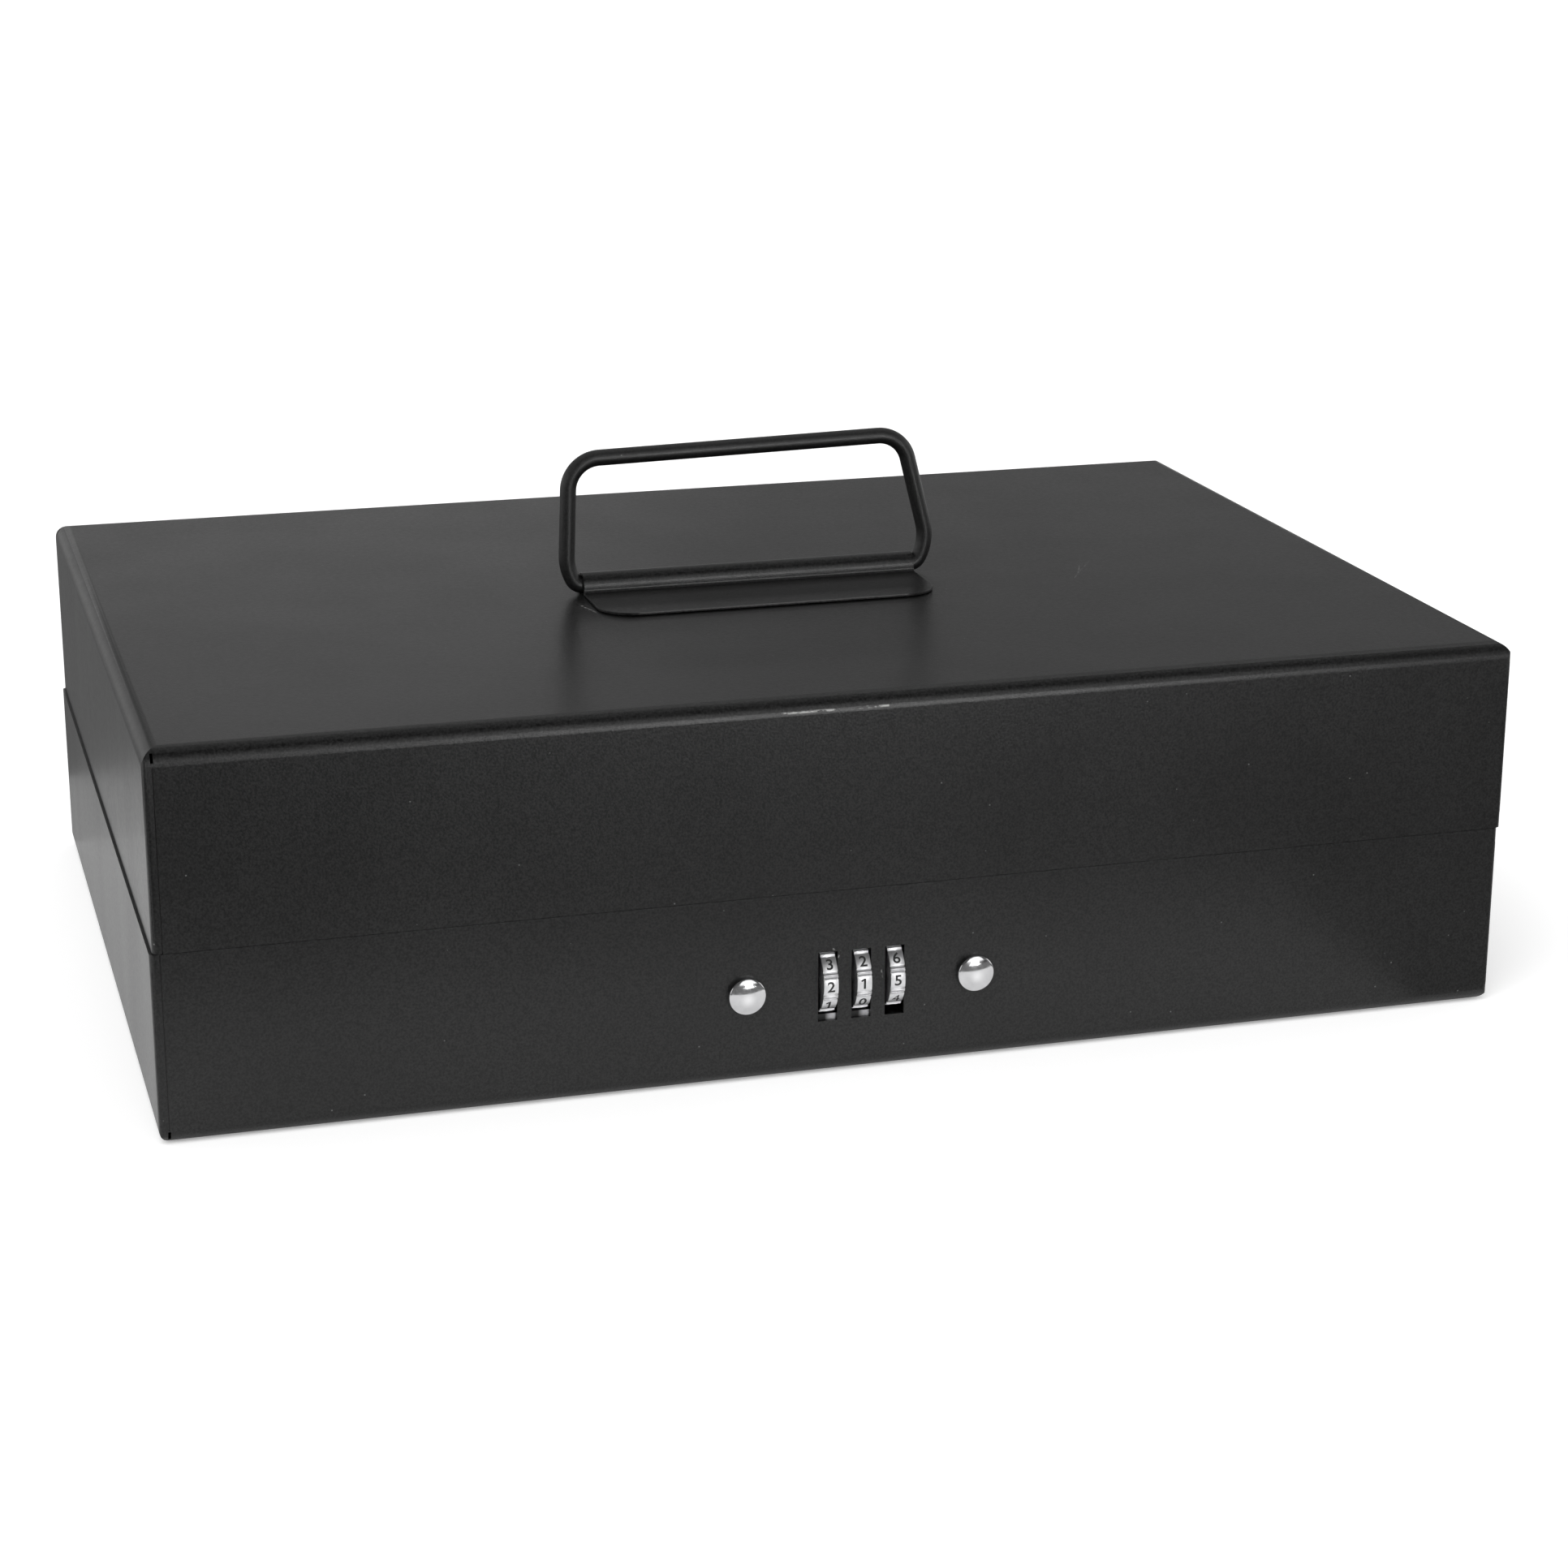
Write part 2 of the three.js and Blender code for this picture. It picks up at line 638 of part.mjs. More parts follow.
// The lock case: a pressed cup, open to the front wall, with an ear for a rivet on each side.
// Its floor has a lip bent up behind the wall, seen below the first two dials.
function lockCase() {
  const shell = block(-caseHalfWidth, caseHalfWidth, caseFront, caseRear, caseBottom, caseTop)
    .subtract(block(
      -sideInner, sideInner, caseFront - overrun, caseRearInner, caseBottomInner, caseTopInner));
  const lug = block(
    latchSpringOffset - springLugWidth / 2, latchSpringOffset + springLugWidth / 2,
    caseFront, caseFront + casePlate, caseTopInner, caseTop + springLugHeight);
  const lip = block(lipLeft, lipRight, caseFront, caseFront + lipPlate, caseBottom, caseBottom + lipHeight);
  const nibStart = caseFront + casePlate / 2;
  const nib = rodY(
    springNibRadius, nibStart, nibStart + casePlate / 2 + springNibLength, latchSpringOffset, springAxisZ);
  const ears = [-1, 1].map((side) => {
    const outline = roundedRectangle(
      ...ordered(side * sideInner, side * (caseHalfWidth + earWidth)),
      slotMiddle - earHeight / 2, slotMiddle + earHeight / 2, casePlate);
    const ear = prismY(outline, caseFront, caseFront + casePlate);
    const hollow = block(
      -sideInner, sideInner, caseFront - overrun, caseRearInner, caseBottomInner, caseTopInner);
    return cut(ear, [hollow, rodY(
      rivetShankRadius + runningGap, caseFront - overrun, caseRear, side * rivetSpacing / 2, slotMiddle)]);
  });
  const catchWindow = block(
    -windowHalfWidth, windowHalfWidth, catchFront - overrun, catchRear + overrun,
    caseTopInner - overrun, caseTop + overrun);
  const webWindow = block(
    webLeft - windowSideGap, webRight + windowSideGap, webFront - runningGap,
    webRear + boltTravel + runningGap, caseTopInner - overrun, caseTop + overrun);
  const slideWindow = block(
    forkLeft - codeTravel - windowSideGap, forkRight + windowSideGap,
    caseRearInner - overrun, caseRear + overrun,
    axisZ - slideArmHeight / 2 - windowSideGap, axisZ + slideArmHeight / 2 + windowSideGap);
  const axleHoles = rodX(
    axleRadius + runningGap, -caseHalfWidth - overrun, caseHalfWidth + overrun, axisY, axisZ);
  const studHoles = [-1, 1].map((side) => rodZ(
    studShankRadius + runningGap, caseTopInner - overrun, caseTop + overrun, side * studOffset, studY));
  const openings = [catchWindow, webWindow, slideWindow, axleHoles, ...studHoles];
  return cut(joined([shell, lip, lug, nib, ...ears]), openings);
}

function lockRivet() {
  const front = frontOuter - seat;
  const ear = caseFront + casePlate + seat;
  const curveRadius = (rivetHeadRadius ** 2 + rivetHeadHeight ** 2) / (2 * rivetHeadHeight);
  const sweep = Math.asin(rivetHeadRadius / curveRadius);
  const dome = [];
  for (let i = 0; i <= bendSides + 1; i += 1) {
    const angle = sweep * i / (bendSides + 1);
    const drop = curveRadius * (1 - Math.cos(angle));
    dome.push([curveRadius * Math.sin(angle), front - rivetHeadHeight + drop]);
  }
  return turned([
    ...dome, [rivetShankRadius, front], [rivetShankRadius, ear], [rivetTailRadius, ear],
    [(rivetTailRadius + rivetShankRadius) / 2, ear + rivetTailHeight],
    [0, ear + rivetTailHeight],
  ], null, 0, 0, slotMiddle, domeSides);
}

// The latch bolt: a plate on top of the case with a tongue for the catch, and a comb behind the dials
function latchBolt() {
  const plate = block(-boltHalfWidth, boltHalfWidth, boltFront, webRear, boltBottom, boltTop);
  const opening = block(
    -windowHalfWidth, windowHalfWidth, windowFront, windowRear, boltBottom - overrun, boltTop + overrun);
  const tongue = prismX(polygon([
    [boltFront, boltBottom], [tongueTip, boltBottom], [tongueTip, boltTop - boltPlate / 2],
    [tongueTip - boltPlate / 2, boltTop], [boltFront, boltTop],
  ]), -tongueHalfWidth, tongueHalfWidth);
  const web = block(webLeft, webRight, webFront, webRear, axisZ - fenceToothHeight / 2, boltTop);
  const teeth = dialPlaces.map((x) => block(
    x + toothStart, x + toothStart + fenceToothWidth, fenceTip, webRear,
    axisZ - fenceToothHeight / 2, axisZ + fenceToothHeight / 2));
  const lug = block(
    latchSpringOffset - springLugWidth / 2, latchSpringOffset + springLugWidth / 2,
    lugY, lugY + boltPlate, boltBottom, boltTop + springLugHeight - boltPlate);
  const nib = rodY(
    springNibRadius, lugY - springNibLength, lugY + boltPlate / 2, latchSpringOffset, springAxisZ);
  const studSlot = studShoulderRadius + runningGap;
  const slots = [-1, 1].map((side) => prismZ(roundedRectangle(
    side * studOffset - studSlot, side * studOffset + studSlot,
    studY - studSlot - boltTravel, studY + studSlot, studSlot),
  boltBottom - overrun, boltTop + overrun));
  return joined([cut(plate, [opening, ...slots]), tongue, web, ...teeth, lug, nib]);
}

function guideStud() {
  const tailTop = caseTopInner - seat;
  const shoulder = caseTop + seat;
  const head = boltTop + runningGap;
  return turned([
    [0, tailTop - studTailHeight], [studTailRadius, tailTop - studTailHeight], [studTailRadius, tailTop],
    [studShankRadius, tailTop], [studShankRadius, shoulder], [studShoulderRadius, shoulder],
    [studShoulderRadius, head], [studHeadRadius, head], [studHeadRadius, head + studHeadHeight],
    [0, head + studHeadHeight],
  ], latheToZ, 0, studY, 0);
}

// The catch: a strip welded inside the lid's front wall, bent back and down to the bolt's tongue
function lidCatch() {
  const weldFace = -boxDepth / 2 + sheet + seat;
  const bendTop = rimHeight + catchWeldClear;
  const bendBottom = bendTop - catchSlope;
  const toe = boltBottom - catchHoleGap - catchToe;
  const strip = polygon([
    [weldFace, bendTop + catchWeldHeight], [weldFace, bendTop], [catchFront, bendBottom],
    [catchFront, toe], [catchRear, toe], [catchRear, bendBottom + catchPlate],
    [weldFace + catchPlate, bendTop + catchPlate], [weldFace + catchPlate, bendTop + catchWeldHeight],
  ]);
  const hole = block(
    -tongueHalfWidth - catchHoleGap, tongueHalfWidth + catchHoleGap,
    catchFront - overrun, catchRear + overrun, boltBottom - catchHoleGap, boltTop + catchHoleGap);
  return prismX(strip, -catchHalfWidth, catchHalfWidth).subtract(hole);
}

// The code change slide: a fork behind the first tumbler, with an arm through the case to a thumb tab
function codeSlide() {
  const armEnd = caseRear + runningGap;
  const half = slideArmHeight / 2;
  const fork = rodX(forkRadius, forkLeft, forkRight, axisY, axisZ);
  const arm = block(forkLeft, forkRight, axisY, armEnd + forkPlate, axisZ - half, axisZ + half);
  const tab = block(
    forkRight - slideTabLength, forkRight, armEnd, armEnd + forkPlate, axisZ - half, axisZ + half);
  const lug = block(
    forkRight - slideTabLength, forkRight - slideTabLength + forkPlate,
    armEnd, armEnd + slideLugReach, axisZ - half, axisZ + half);
  const hole = rodX(axleRadius + runningGap, forkLeft - overrun, forkRight + overrun, axisY, axisZ);
  return cut(joined([fork, arm, tab, lug]), [hole]);
}

// The detent spring: a comb of thin fingers that lean against the dials from below
function detentSpring() {
  const floor = caseBottomInner + seat;
  const back = caseRearInner - runningGap;
  const noseReach = (dialRadius + runningGap) * Math.SQRT1_2;
  const noseY = axisY + noseReach;
  const noseZ = axisZ - noseReach;
  const foot = block(
    dialPlaces[0] - detentFingerWidth / 2, dialPlaces[dialCount - 1] + detentFingerWidth / 2,
    back - detentFoot, back, floor, floor + detentSheet);
  const finger = polygon([
    [back - detentFoot, floor], [back - detentFoot + detentNose / 2, floor + detentSheet],
    [noseY + detentSheet, noseZ], [noseY, noseZ], [noseY - detentNose, noseZ - detentNose],
    [noseY - detentNose, noseZ - detentNose - detentSheet], [noseY, noseZ - detentSheet * 2],
  ]);
  const fingers = dialPlaces.map((x) => prismX(
    finger, x - detentFingerWidth / 2, x + detentFingerWidth / 2));
  return joined([foot, ...fingers]);
}

function stackSpring() {
  const form = coil(stackSpringRadius, sideInner - seat - stackEnd, stackSpringTurns);
  return form.applyMatrix4(alongX).translate(stackEnd, axisY, axisZ);
}

function latchSpring() {
  const start = caseFront + casePlate + seat;
  const form = coil(latchSpringRadius, lugY - seat - start, latchSpringTurns);
  return form.rotateX(-Math.PI / 2).translate(latchSpringOffset, start, springAxisZ);
}

// Materials
function finish(name, color, roughness, metalness) {
  return () => Object.assign(new THREE.MeshStandardMaterial({ color, roughness, metalness }), { name });
}

const blackCoat = finish('black_powder_coat', 0x2a2a2b, 0.55, 0.1);
const blackWire = finish('black_painted_wire', 0x262627, 0.45, 0.1);
const chrome = finish('chrome_plate', 0xd8d9da, 0.15, 1);
const zinc = finish('zinc_plate', 0xb4b6b8, 0.35, 1);
const springSteel = finish('spring_steel', 0x8c8e90, 0.3, 1);

// The assembly. Its origin is in the middle of the underside.
const box = new THREE.Group();
box.name = 'medication_lock_box';

function piece(name, form, material, x = 0, y = 0, z = 0) {
  const geometry = form.isBufferGeometry ? form : geometryOf(form);
  const mesh = new THREE.Mesh(geometry, material());
  mesh.name = name;
  mesh.position.set(x, y, z);
  box.add(mesh);
  return mesh;
}

const sides = [['left', -1], ['right', 1]];

piece('base_tray', baseTray(), blackCoat);
piece('lid_cover', lidCover(), blackCoat, lidShift);
piece('handle_saddle', handleSaddle(), blackCoat, handleX, handleY);
piece('handle_bail', handleBail(), blackWire, handleX, handleY, bailAxisZ);
for (const [side, sign] of sides) {
  const x = sign * hingeX;
  piece(`hinge_base_leaf_${side}`, hingeLeaf(false), blackCoat, x);
  piece(`hinge_lid_leaf_${side}`, hingeLeaf(true), blackCoat, x);
  piece(`hinge_pin_${side}`, hingePin(), zinc, x);
  piece(`lock_rivet_${side}`, lockRivet(), chrome, sign * rivetSpacing / 2);
  piece(`bolt_guide_${side}`, guideStud(), zinc, sign * studOffset);
}
piece('lock_case', lockCase(), zinc);
piece('dial_axle', dialAxle(), zinc);
dialPlaces.forEach((x, i) => {
  piece(`dial_${i + 1}`, dial(), chrome, x);
  piece(`tumbler_${i + 1}`, tumbler(), zinc, x);
});
piece('tumbler_spring', stackSpring(), springSteel);
piece('detent_spring', detentSpring(), springSteel);
piece('latch_bolt', latchBolt(), zinc);
piece('latch_spring', latchSpring(), springSteel);
piece('lid_catch', lidCatch(), zinc);
piece('code_slide', codeSlide(), zinc);

export default box;
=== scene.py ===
# %% [markdown]
# A steel lock box for medicines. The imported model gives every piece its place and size, and this
# lesson dresses it: it softens the folded sheet, bends the handle, engraves the dials, and gives
# each metal its finish. All lengths are in metres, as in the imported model.

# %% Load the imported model
import json
import math

import bpy
from mathutils import Matrix, Vector


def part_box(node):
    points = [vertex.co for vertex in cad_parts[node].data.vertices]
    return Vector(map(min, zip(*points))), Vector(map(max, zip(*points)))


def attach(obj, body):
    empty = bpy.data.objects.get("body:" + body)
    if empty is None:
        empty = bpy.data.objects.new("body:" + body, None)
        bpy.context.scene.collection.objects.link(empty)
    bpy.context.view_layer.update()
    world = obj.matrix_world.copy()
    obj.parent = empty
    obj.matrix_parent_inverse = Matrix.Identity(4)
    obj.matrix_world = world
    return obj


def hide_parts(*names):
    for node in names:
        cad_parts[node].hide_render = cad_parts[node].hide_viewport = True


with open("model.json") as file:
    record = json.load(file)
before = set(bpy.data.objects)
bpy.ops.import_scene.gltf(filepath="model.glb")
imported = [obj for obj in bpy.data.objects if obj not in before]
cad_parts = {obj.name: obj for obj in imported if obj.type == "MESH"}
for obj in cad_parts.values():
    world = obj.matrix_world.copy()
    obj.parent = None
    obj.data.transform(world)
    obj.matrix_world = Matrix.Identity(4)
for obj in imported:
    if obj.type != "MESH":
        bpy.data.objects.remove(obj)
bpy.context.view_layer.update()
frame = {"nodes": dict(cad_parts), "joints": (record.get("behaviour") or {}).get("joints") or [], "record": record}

MM = 0.001
nodes = frame["nodes"]
joints = {joint["name"]: joint for joint in frame["joints"]}

# %% [markdown]
# Blender's operators act on whatever is selected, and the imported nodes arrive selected. So each
# step starts by clearing the selection. Faces and edges are then chosen in code, by their place.

# %% Helpers for selecting and for edit mode


def only(piece):
    """Selects this piece alone and makes it the active one."""
    bpy.ops.object.select_all(action="DESELECT")
    piece.select_set(True)
    bpy.context.view_layer.objects.active = piece
    return piece


def editing(piece, mode="VERT"):
    """Opens this piece in edit mode with nothing selected."""
    only(piece)
    bpy.ops.object.mode_set(mode="EDIT")
    bpy.ops.mesh.select_mode(type=mode)
    bpy.ops.mesh.select_all(action="DESELECT")


def done():
    """Leaves edit mode."""
    bpy.ops.object.mode_set(mode="OBJECT")


def settle(piece):
    """Puts a piece's place into its mesh, so that its object sits at the origin."""
    only(piece)
    bpy.ops.object.transform_apply(location=True, rotation=True, scale=True)


def finished(piece, body, *stands_for, material=None, slot=None):
    """Says which body a piece rides on, which nodes it stands for, and what it is made of."""
    if material:
        piece.data.materials.clear()
        piece.data.materials.append(material)
    if stands_for:
        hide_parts(*stands_for)
    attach(piece, body)
    print(piece.name, "faces:", len(piece.data.polygons))


def bodies_of_nodes():
    """Which body each node belongs to."""
    bodies = frame["record"]["behaviour"]["bodies"]
    return {node: body for body, members in bodies.items() for node in members}


body_of_node = bodies_of_nodes()

# %% [markdown]
# Every finish here is a small network of nodes that reads Object coordinates. All pieces sit at
# the origin, so one millimetre of pattern is one millimetre of steel on each of them.

# %% Helpers for materials


class Finish:
    """A material with its shader, its coordinates and short ways to add nodes."""

    def __init__(self, name):
        self.material = bpy.data.materials.new(name)
        self.material.use_nodes = True
        self.tree = self.material.node_tree
        self.shader = self.tree.nodes["Principled BSDF"]
        self.place = self.add("ShaderNodeTexCoord").outputs["Object"]

    def add(self, kind, **settings):
        node = self.tree.nodes.new(kind)
        for key, value in settings.items():
            setattr(node, key, value)
        return node

    def link(self, source, target):
        self.tree.links.new(source, target)
        return target

    def constants(self, **values):
        """Sets constant values straight on the shader's own sockets."""
        for key, value in values.items():
            self.shader.inputs[key.replace("_", " ")].default_value = value
        return self

    def noise(self, scale, detail=2.0, roughness=0.5, stretch=None):
        """Noise with this many features per metre."""
        node = self.add("ShaderNodeTexNoise")
        node.inputs["Scale"].default_value = scale
        node.inputs["Detail"].default_value = detail
        node.inputs["Roughness"].default_value = roughness
        place = self.place
        if stretch:
            mapping = self.add("ShaderNodeMapping")
            mapping.inputs["Scale"].default_value = stretch
            self.link(self.place, mapping.inputs["Vector"])
            place = mapping.outputs["Vector"]
        self.link(place, node.inputs["Vector"])
        return node.outputs["Fac"]

    def math(self, operation, a, b=None, clamp=False):
        node = self.add("ShaderNodeMath", operation=operation, use_clamp=clamp)
        for socket, value in zip(node.inputs, (a, b)):
            if value is None:
                continue
            if isinstance(value, (int, float)):
                socket.default_value = value
            else:
                self.link(value, socket)
        return node.outputs["Value"]

    def ranged(self, value, low, high, to_low=0.0, to_high=1.0, smooth=False):
        """Maps low..high to to_low..to_high and stops there."""
        node = self.add("ShaderNodeMapRange", clamp=True)
        if smooth:
            node.interpolation_type = "SMOOTHSTEP"
        self.link(value, node.inputs["Value"])
        ends = {"From Min": low, "From Max": high, "To Min": to_low, "To Max": to_high}
        for name, number in ends.items():
            node.inputs[name].default_value = number
        return node.outputs["Result"]

    def blend(self, amount, first, second):
        """A colour between two, where each is a colour or a socket."""
        node = self.add("ShaderNodeMix", data_type="RGBA")
        self.link(amount, node.inputs["Factor"])
        colours = [socket for socket in node.inputs if socket.type == "RGBA"]
        for socket, value in zip(colours, (first, second)):
            if isinstance(value, (tuple, list)):
                socket.default_value = (*value, 1.0)
            else:
                self.link(value, socket)
        return next(socket for socket in node.outputs if socket.type == "RGBA")

    def coloured(self, colour):
        self.link(colour, self.shader.inputs["Base Color"])

    def rough(self, value):
        self.link(value, self.shader.inputs["Roughness"])

    def bumped(self, height, distance, strength=1.0):
        node = self.add("ShaderNodeBump")
        node.inputs["Distance"].default_value = distance
        node.inputs["Strength"].default_value = strength
        self.link(height, node.inputs["Height"])
        self.link(node.outputs["Normal"], self.shader.inputs["Normal"])

    def line(self, start, end, half_width):
        """1 on the line between two points, 0 further than half_width from it."""
        start, end = Vector(start), Vector(end)
        away = self.add("ShaderNodeVectorMath", operation="SUBTRACT")
        self.link(self.place, away.inputs[0])
        away.inputs[1].default_value = start
        along = self.add("ShaderNodeVectorMath", operation="DOT_PRODUCT")
        self.link(away.outputs["Vector"], along.inputs[0])
        along.inputs[1].default_value = (end - start) / (end - start).length_squared
        share = self.math("MAXIMUM", self.math("MINIMUM", along.outputs["Value"], 1.0), 0.0)
        foot = self.add("ShaderNodeVectorMath", operation="SCALE")
        foot.inputs[0].default_value = end - start
        self.link(share, foot.inputs["Scale"])
        gap = self.add("ShaderNodeVectorMath", operation="DISTANCE")
        self.link(away.outputs["Vector"], gap.inputs[0])
        self.link(foot.outputs["Vector"], gap.inputs[1])
        return self.ranged(gap.outputs["Value"], 0.0, half_width, 1.0, 0.0, smooth=True)

    def specks(self, per_metre, radius):
        """1 on small specks scattered about, 0 elsewhere."""
        cells = self.add("ShaderNodeTexVoronoi")
        cells.inputs["Scale"].default_value = per_metre
        self.link(self.place, cells.inputs["Vector"])
        edge = radius * per_metre
        return self.ranged(cells.outputs["Distance"], 0.6 * edge, edge, 1.0, 0.0)

    def worn_lines(self, lines, on_surface, half_width, share=1.0):
        """Broken lines where the coat is chipped: each is two points on the surface, in millimetres."""
        marks = None
        for start, end in lines:
            mark = self.line(on_surface(*start), on_surface(*end), half_width)
            marks = mark if marks is None else self.math("MAXIMUM", marks, mark)
        chips = self.ranged(self.noise(900.0, detail=4.0), 0.45, 0.58)
        return self.math("MULTIPLY", self.math("MULTIPLY", marks, chips), share)


# %% [markdown]
# Powder coat is a baked plastic skin. It is not quite smooth: it has a fine orange peel, and its
# grains catch a little light. Fine noise gives that, in the bump and in the tone. Scattered cells
# add a few specks of dust, and slow vertical streaks vary the gloss, as wiping does. Only the
# constants differ between the sheet and the wire, so one function makes both.

# %% Powder coat

SHEET_DARK, SHEET_LIGHT, SHEET_ROUGHNESS = (0.001,) * 3, (0.016,) * 3, 0.32
SHEET_PEEL, SHEET_SHINE = 0.04 * MM, 0.38
WIRE_DARK, WIRE_LIGHT, WIRE_ROUGHNESS = (0.005,) * 3, (0.016,) * 3, 0.42
WIRE_PEEL, WIRE_SHINE = 0.01 * MM, 0.5
DUST_PER_METRE, DUST_RADIUS = 140.0, 0.26 * MM
DUST_TONE = (0.11,) * 3


def powder_coat(name, dark=SHEET_DARK, light=SHEET_LIGHT, roughness=SHEET_ROUGHNESS,
                peel=SHEET_PEEL, shine=SHEET_SHINE):
    """A coat of paint, and its colour, which the caller may still mark before it is linked."""
    coat = Finish(name)
    grain = coat.noise(1700.0, detail=3.0, roughness=0.6)
    cloud = coat.noise(28.0, detail=3.0)
    tone = coat.math("MULTIPLY", coat.ranged(grain, 0.36, 0.64), coat.ranged(cloud, 0.3, 0.7, 0.75, 1.0))
    dust = coat.specks(DUST_PER_METRE, DUST_RADIUS)
    colour = coat.blend(dust, coat.blend(tone, dark, light), DUST_TONE)
    streaks = coat.ranged(coat.noise(34.0, detail=3.0, stretch=(1.0, 1.0, 0.2)), 0.35, 0.65, -0.012, 0.012)
    fine = coat.ranged(coat.noise(700.0), 0.3, 0.7, roughness - 0.02, roughness + 0.02)
    coat.rough(coat.math("ADD", fine, streaks))
    coat.bumped(grain, peel)
    coat.constants(Specular_IOR_Level=shine)
    return coat, colour


sheet_coat, sheet_colour = powder_coat("sheet_powder_coat")
sheet_coat.coloured(sheet_colour)
wire_coat, wire_colour = powder_coat(
    "wire_paint", WIRE_DARK, WIRE_LIGHT, WIRE_ROUGHNESS, WIRE_PEEL, WIRE_SHINE)
wire_coat.coloured(wire_colour)
print("coats:", sheet_coat.material.name, wire_coat.material.name)

# %% [markdown]
# The lid has the same coat, with the marks of use that the real one shows: a rubbed line along
# its front bend, a few hair scratches on top, and chipped paint beside the handle's flange. The
# base has two chips at its first slot and one at its third. A painted highlight lightens the
# flange's front edge. Each mark is the distance to a line between two points, so it stays where it
# is however the lid turns.

# %% The worn coats of the lid and the base, and the saddle's painted highlight

lid_low, lid_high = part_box("lid_cover")
front_edge = lid_low.y
lid_top = lid_high.z
BARE_TONE = (0.42, 0.42, 0.41)

SCRATCHES = [
    ((106.0, -5.2), (92.4, -26.6)),
    ((101.0, -10.0), (97.0, -19.0)),
    ((94.0, -83.0), (99.0, -84.0)),
]
FLANGE_CHIPS = [((-48.7, -13.7), (-47.9, -18.5)), ((-47.9, -18.5), (-46.0, -24.7))]
RUB_START, RUB_END = -22.0, 6.5
RUB_DROP, RUB_WIDTH = 3.4, 0.45


def on_lid(x, y):
    return (x * MM, y * MM, lid_top)


def on_front(x, z):
    return (x * MM, front_edge, z * MM)


lid_coat, lid_colour = powder_coat("lid_powder_coat")
faint = lid_coat.worn_lines(SCRATCHES, on_lid, 0.22 * MM, 0.35)
chipped = lid_coat.worn_lines(FLANGE_CHIPS, on_lid, 0.5 * MM, 0.5)
rub = lid_coat.line(
    (RUB_START * MM, front_edge, lid_top - RUB_DROP * MM),
    (RUB_END * MM, front_edge, lid_top - RUB_DROP * MM), RUB_WIDTH * MM)
flakes = lid_coat.noise(420.0, detail=5.0, roughness=0.65, stretch=(0.35, 1.0, 1.0))
rubbed = lid_coat.math("MULTIPLY", rub, lid_coat.ranged(flakes, 0.47, 0.55))
worn = lid_coat.math("MAXIMUM", rubbed, lid_coat.math("MAXIMUM", faint, chipped))
lid_coat.coloured(lid_coat.blend(worn, lid_colour, BARE_TONE))

SLOT_CHIPS = [((-7.6, 34.0), (-7.0, 33.4)), ((-5.6, 33.3), (-6.2, 31.6)), ((5.4, 26.9), (5.7, 24.6))]
base_coat, base_colour = powder_coat("base_powder_coat")
chips = base_coat.worn_lines(SLOT_CHIPS, on_front, 0.3 * MM, 0.6)
base_coat.coloured(base_coat.blend(chips, base_colour, BARE_TONE))

saddle_low, saddle_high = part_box("handle_saddle")
# The lighter line along the flange's front edge is a painted highlight.
FLANGE_THICKNESS, FLANGE_CORNER, EDGE_HIGHLIGHT_WIDTH = 0.8, 10.0, 0.3
EDGE_HIGHLIGHT_TONE = (0.075,) * 3
flange_top = saddle_low.z + FLANGE_THICKNESS * MM
saddle_coat, saddle_colour = powder_coat("saddle_powder_coat")
# A painted highlight: a lighter line along the flange's front edge.
edge = saddle_coat.line(
    (saddle_low.x + FLANGE_CORNER * MM, saddle_low.y, flange_top),
    (saddle_high.x - FLANGE_CORNER * MM, saddle_low.y, flange_top), EDGE_HIGHLIGHT_WIDTH * MM)
saddle_coat.coloured(saddle_coat.blend(edge, saddle_colour, EDGE_HIGHLIGHT_TONE))
print("marks:", len(SCRATCHES) + len(FLANGE_CHIPS) + len(SLOT_CHIPS) + 2)

# %% [markdown]
# The bright metals: chrome on the dials and rivets, zinc on the lock's inner works, and plain
# spring steel. Chrome is nearly a mirror, and its faint smears are a change of roughness. Zinc is
# greyer, with a soft cloudiness, and rolled spring steel has a grain along its length. Two of them
# have painted light of their own: a painted highlight brightens the middle of each rivet, and painted
# shade darkens the lock case on the left behind each slot. Both are worked out from the place.

# %% Chrome, zinc and spring steel


# Size and tone of the painted highlight in the middle of each rivet.
HIGHLIGHT_DROP, HIGHLIGHT_RADIUS, HIGHLIGHT_TONE = 0.6 * MM, 2.6 * MM, (0.92, 0.92, 0.93)
# Tone and reach of the painted shade on the left of the lock case behind each slot.
SLOT_SHADE_TONE, SLOT_SHADE_END, SLOT_LIT_START = (0.03,) * 3, 0.45, 0.62
SLOT_PITCH = joints["dial_2_turn"]["pos_m"][0] - joints["dial_1_turn"]["pos_m"][0]
SLOT_SHIFT = 4.5 * SLOT_PITCH


def bright_metal(name, dark, light, smooth, rough, cloud_scale, stretch=None, bump=0.0, painted_light=None):
    """A cloudy metal between two tones and two roughnesses, with painted light of its own if given."""
    metal = Finish(name)
    cloud = metal.noise(cloud_scale, detail=4.0, roughness=0.6, stretch=stretch)
    colour = metal.blend(metal.ranged(cloud, 0.3, 0.7), dark, light)
    metal.coloured(painted_light(metal, colour) if painted_light else colour)
    metal.rough(metal.ranged(metal.noise(cloud_scale * 2.6, detail=3.0), 0.3, 0.72, smooth, rough))
    if bump:
        metal.bumped(cloud, bump)
    metal.constants(Metallic=1.0)
    return metal.material


def punched(metal, colour):
    """Brightens the middle of each rivet with a painted highlight."""
    for node in ("lock_rivet_left", "lock_rivet_right"):
        low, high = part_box(node)
        centre = (low + high) / 2
        height = centre.z - HIGHLIGHT_DROP
        spot = metal.line((centre.x, low.y, height), (centre.x, high.y, height), HIGHLIGHT_RADIUS)
        colour = metal.blend(spot, colour, HIGHLIGHT_TONE)
    return colour


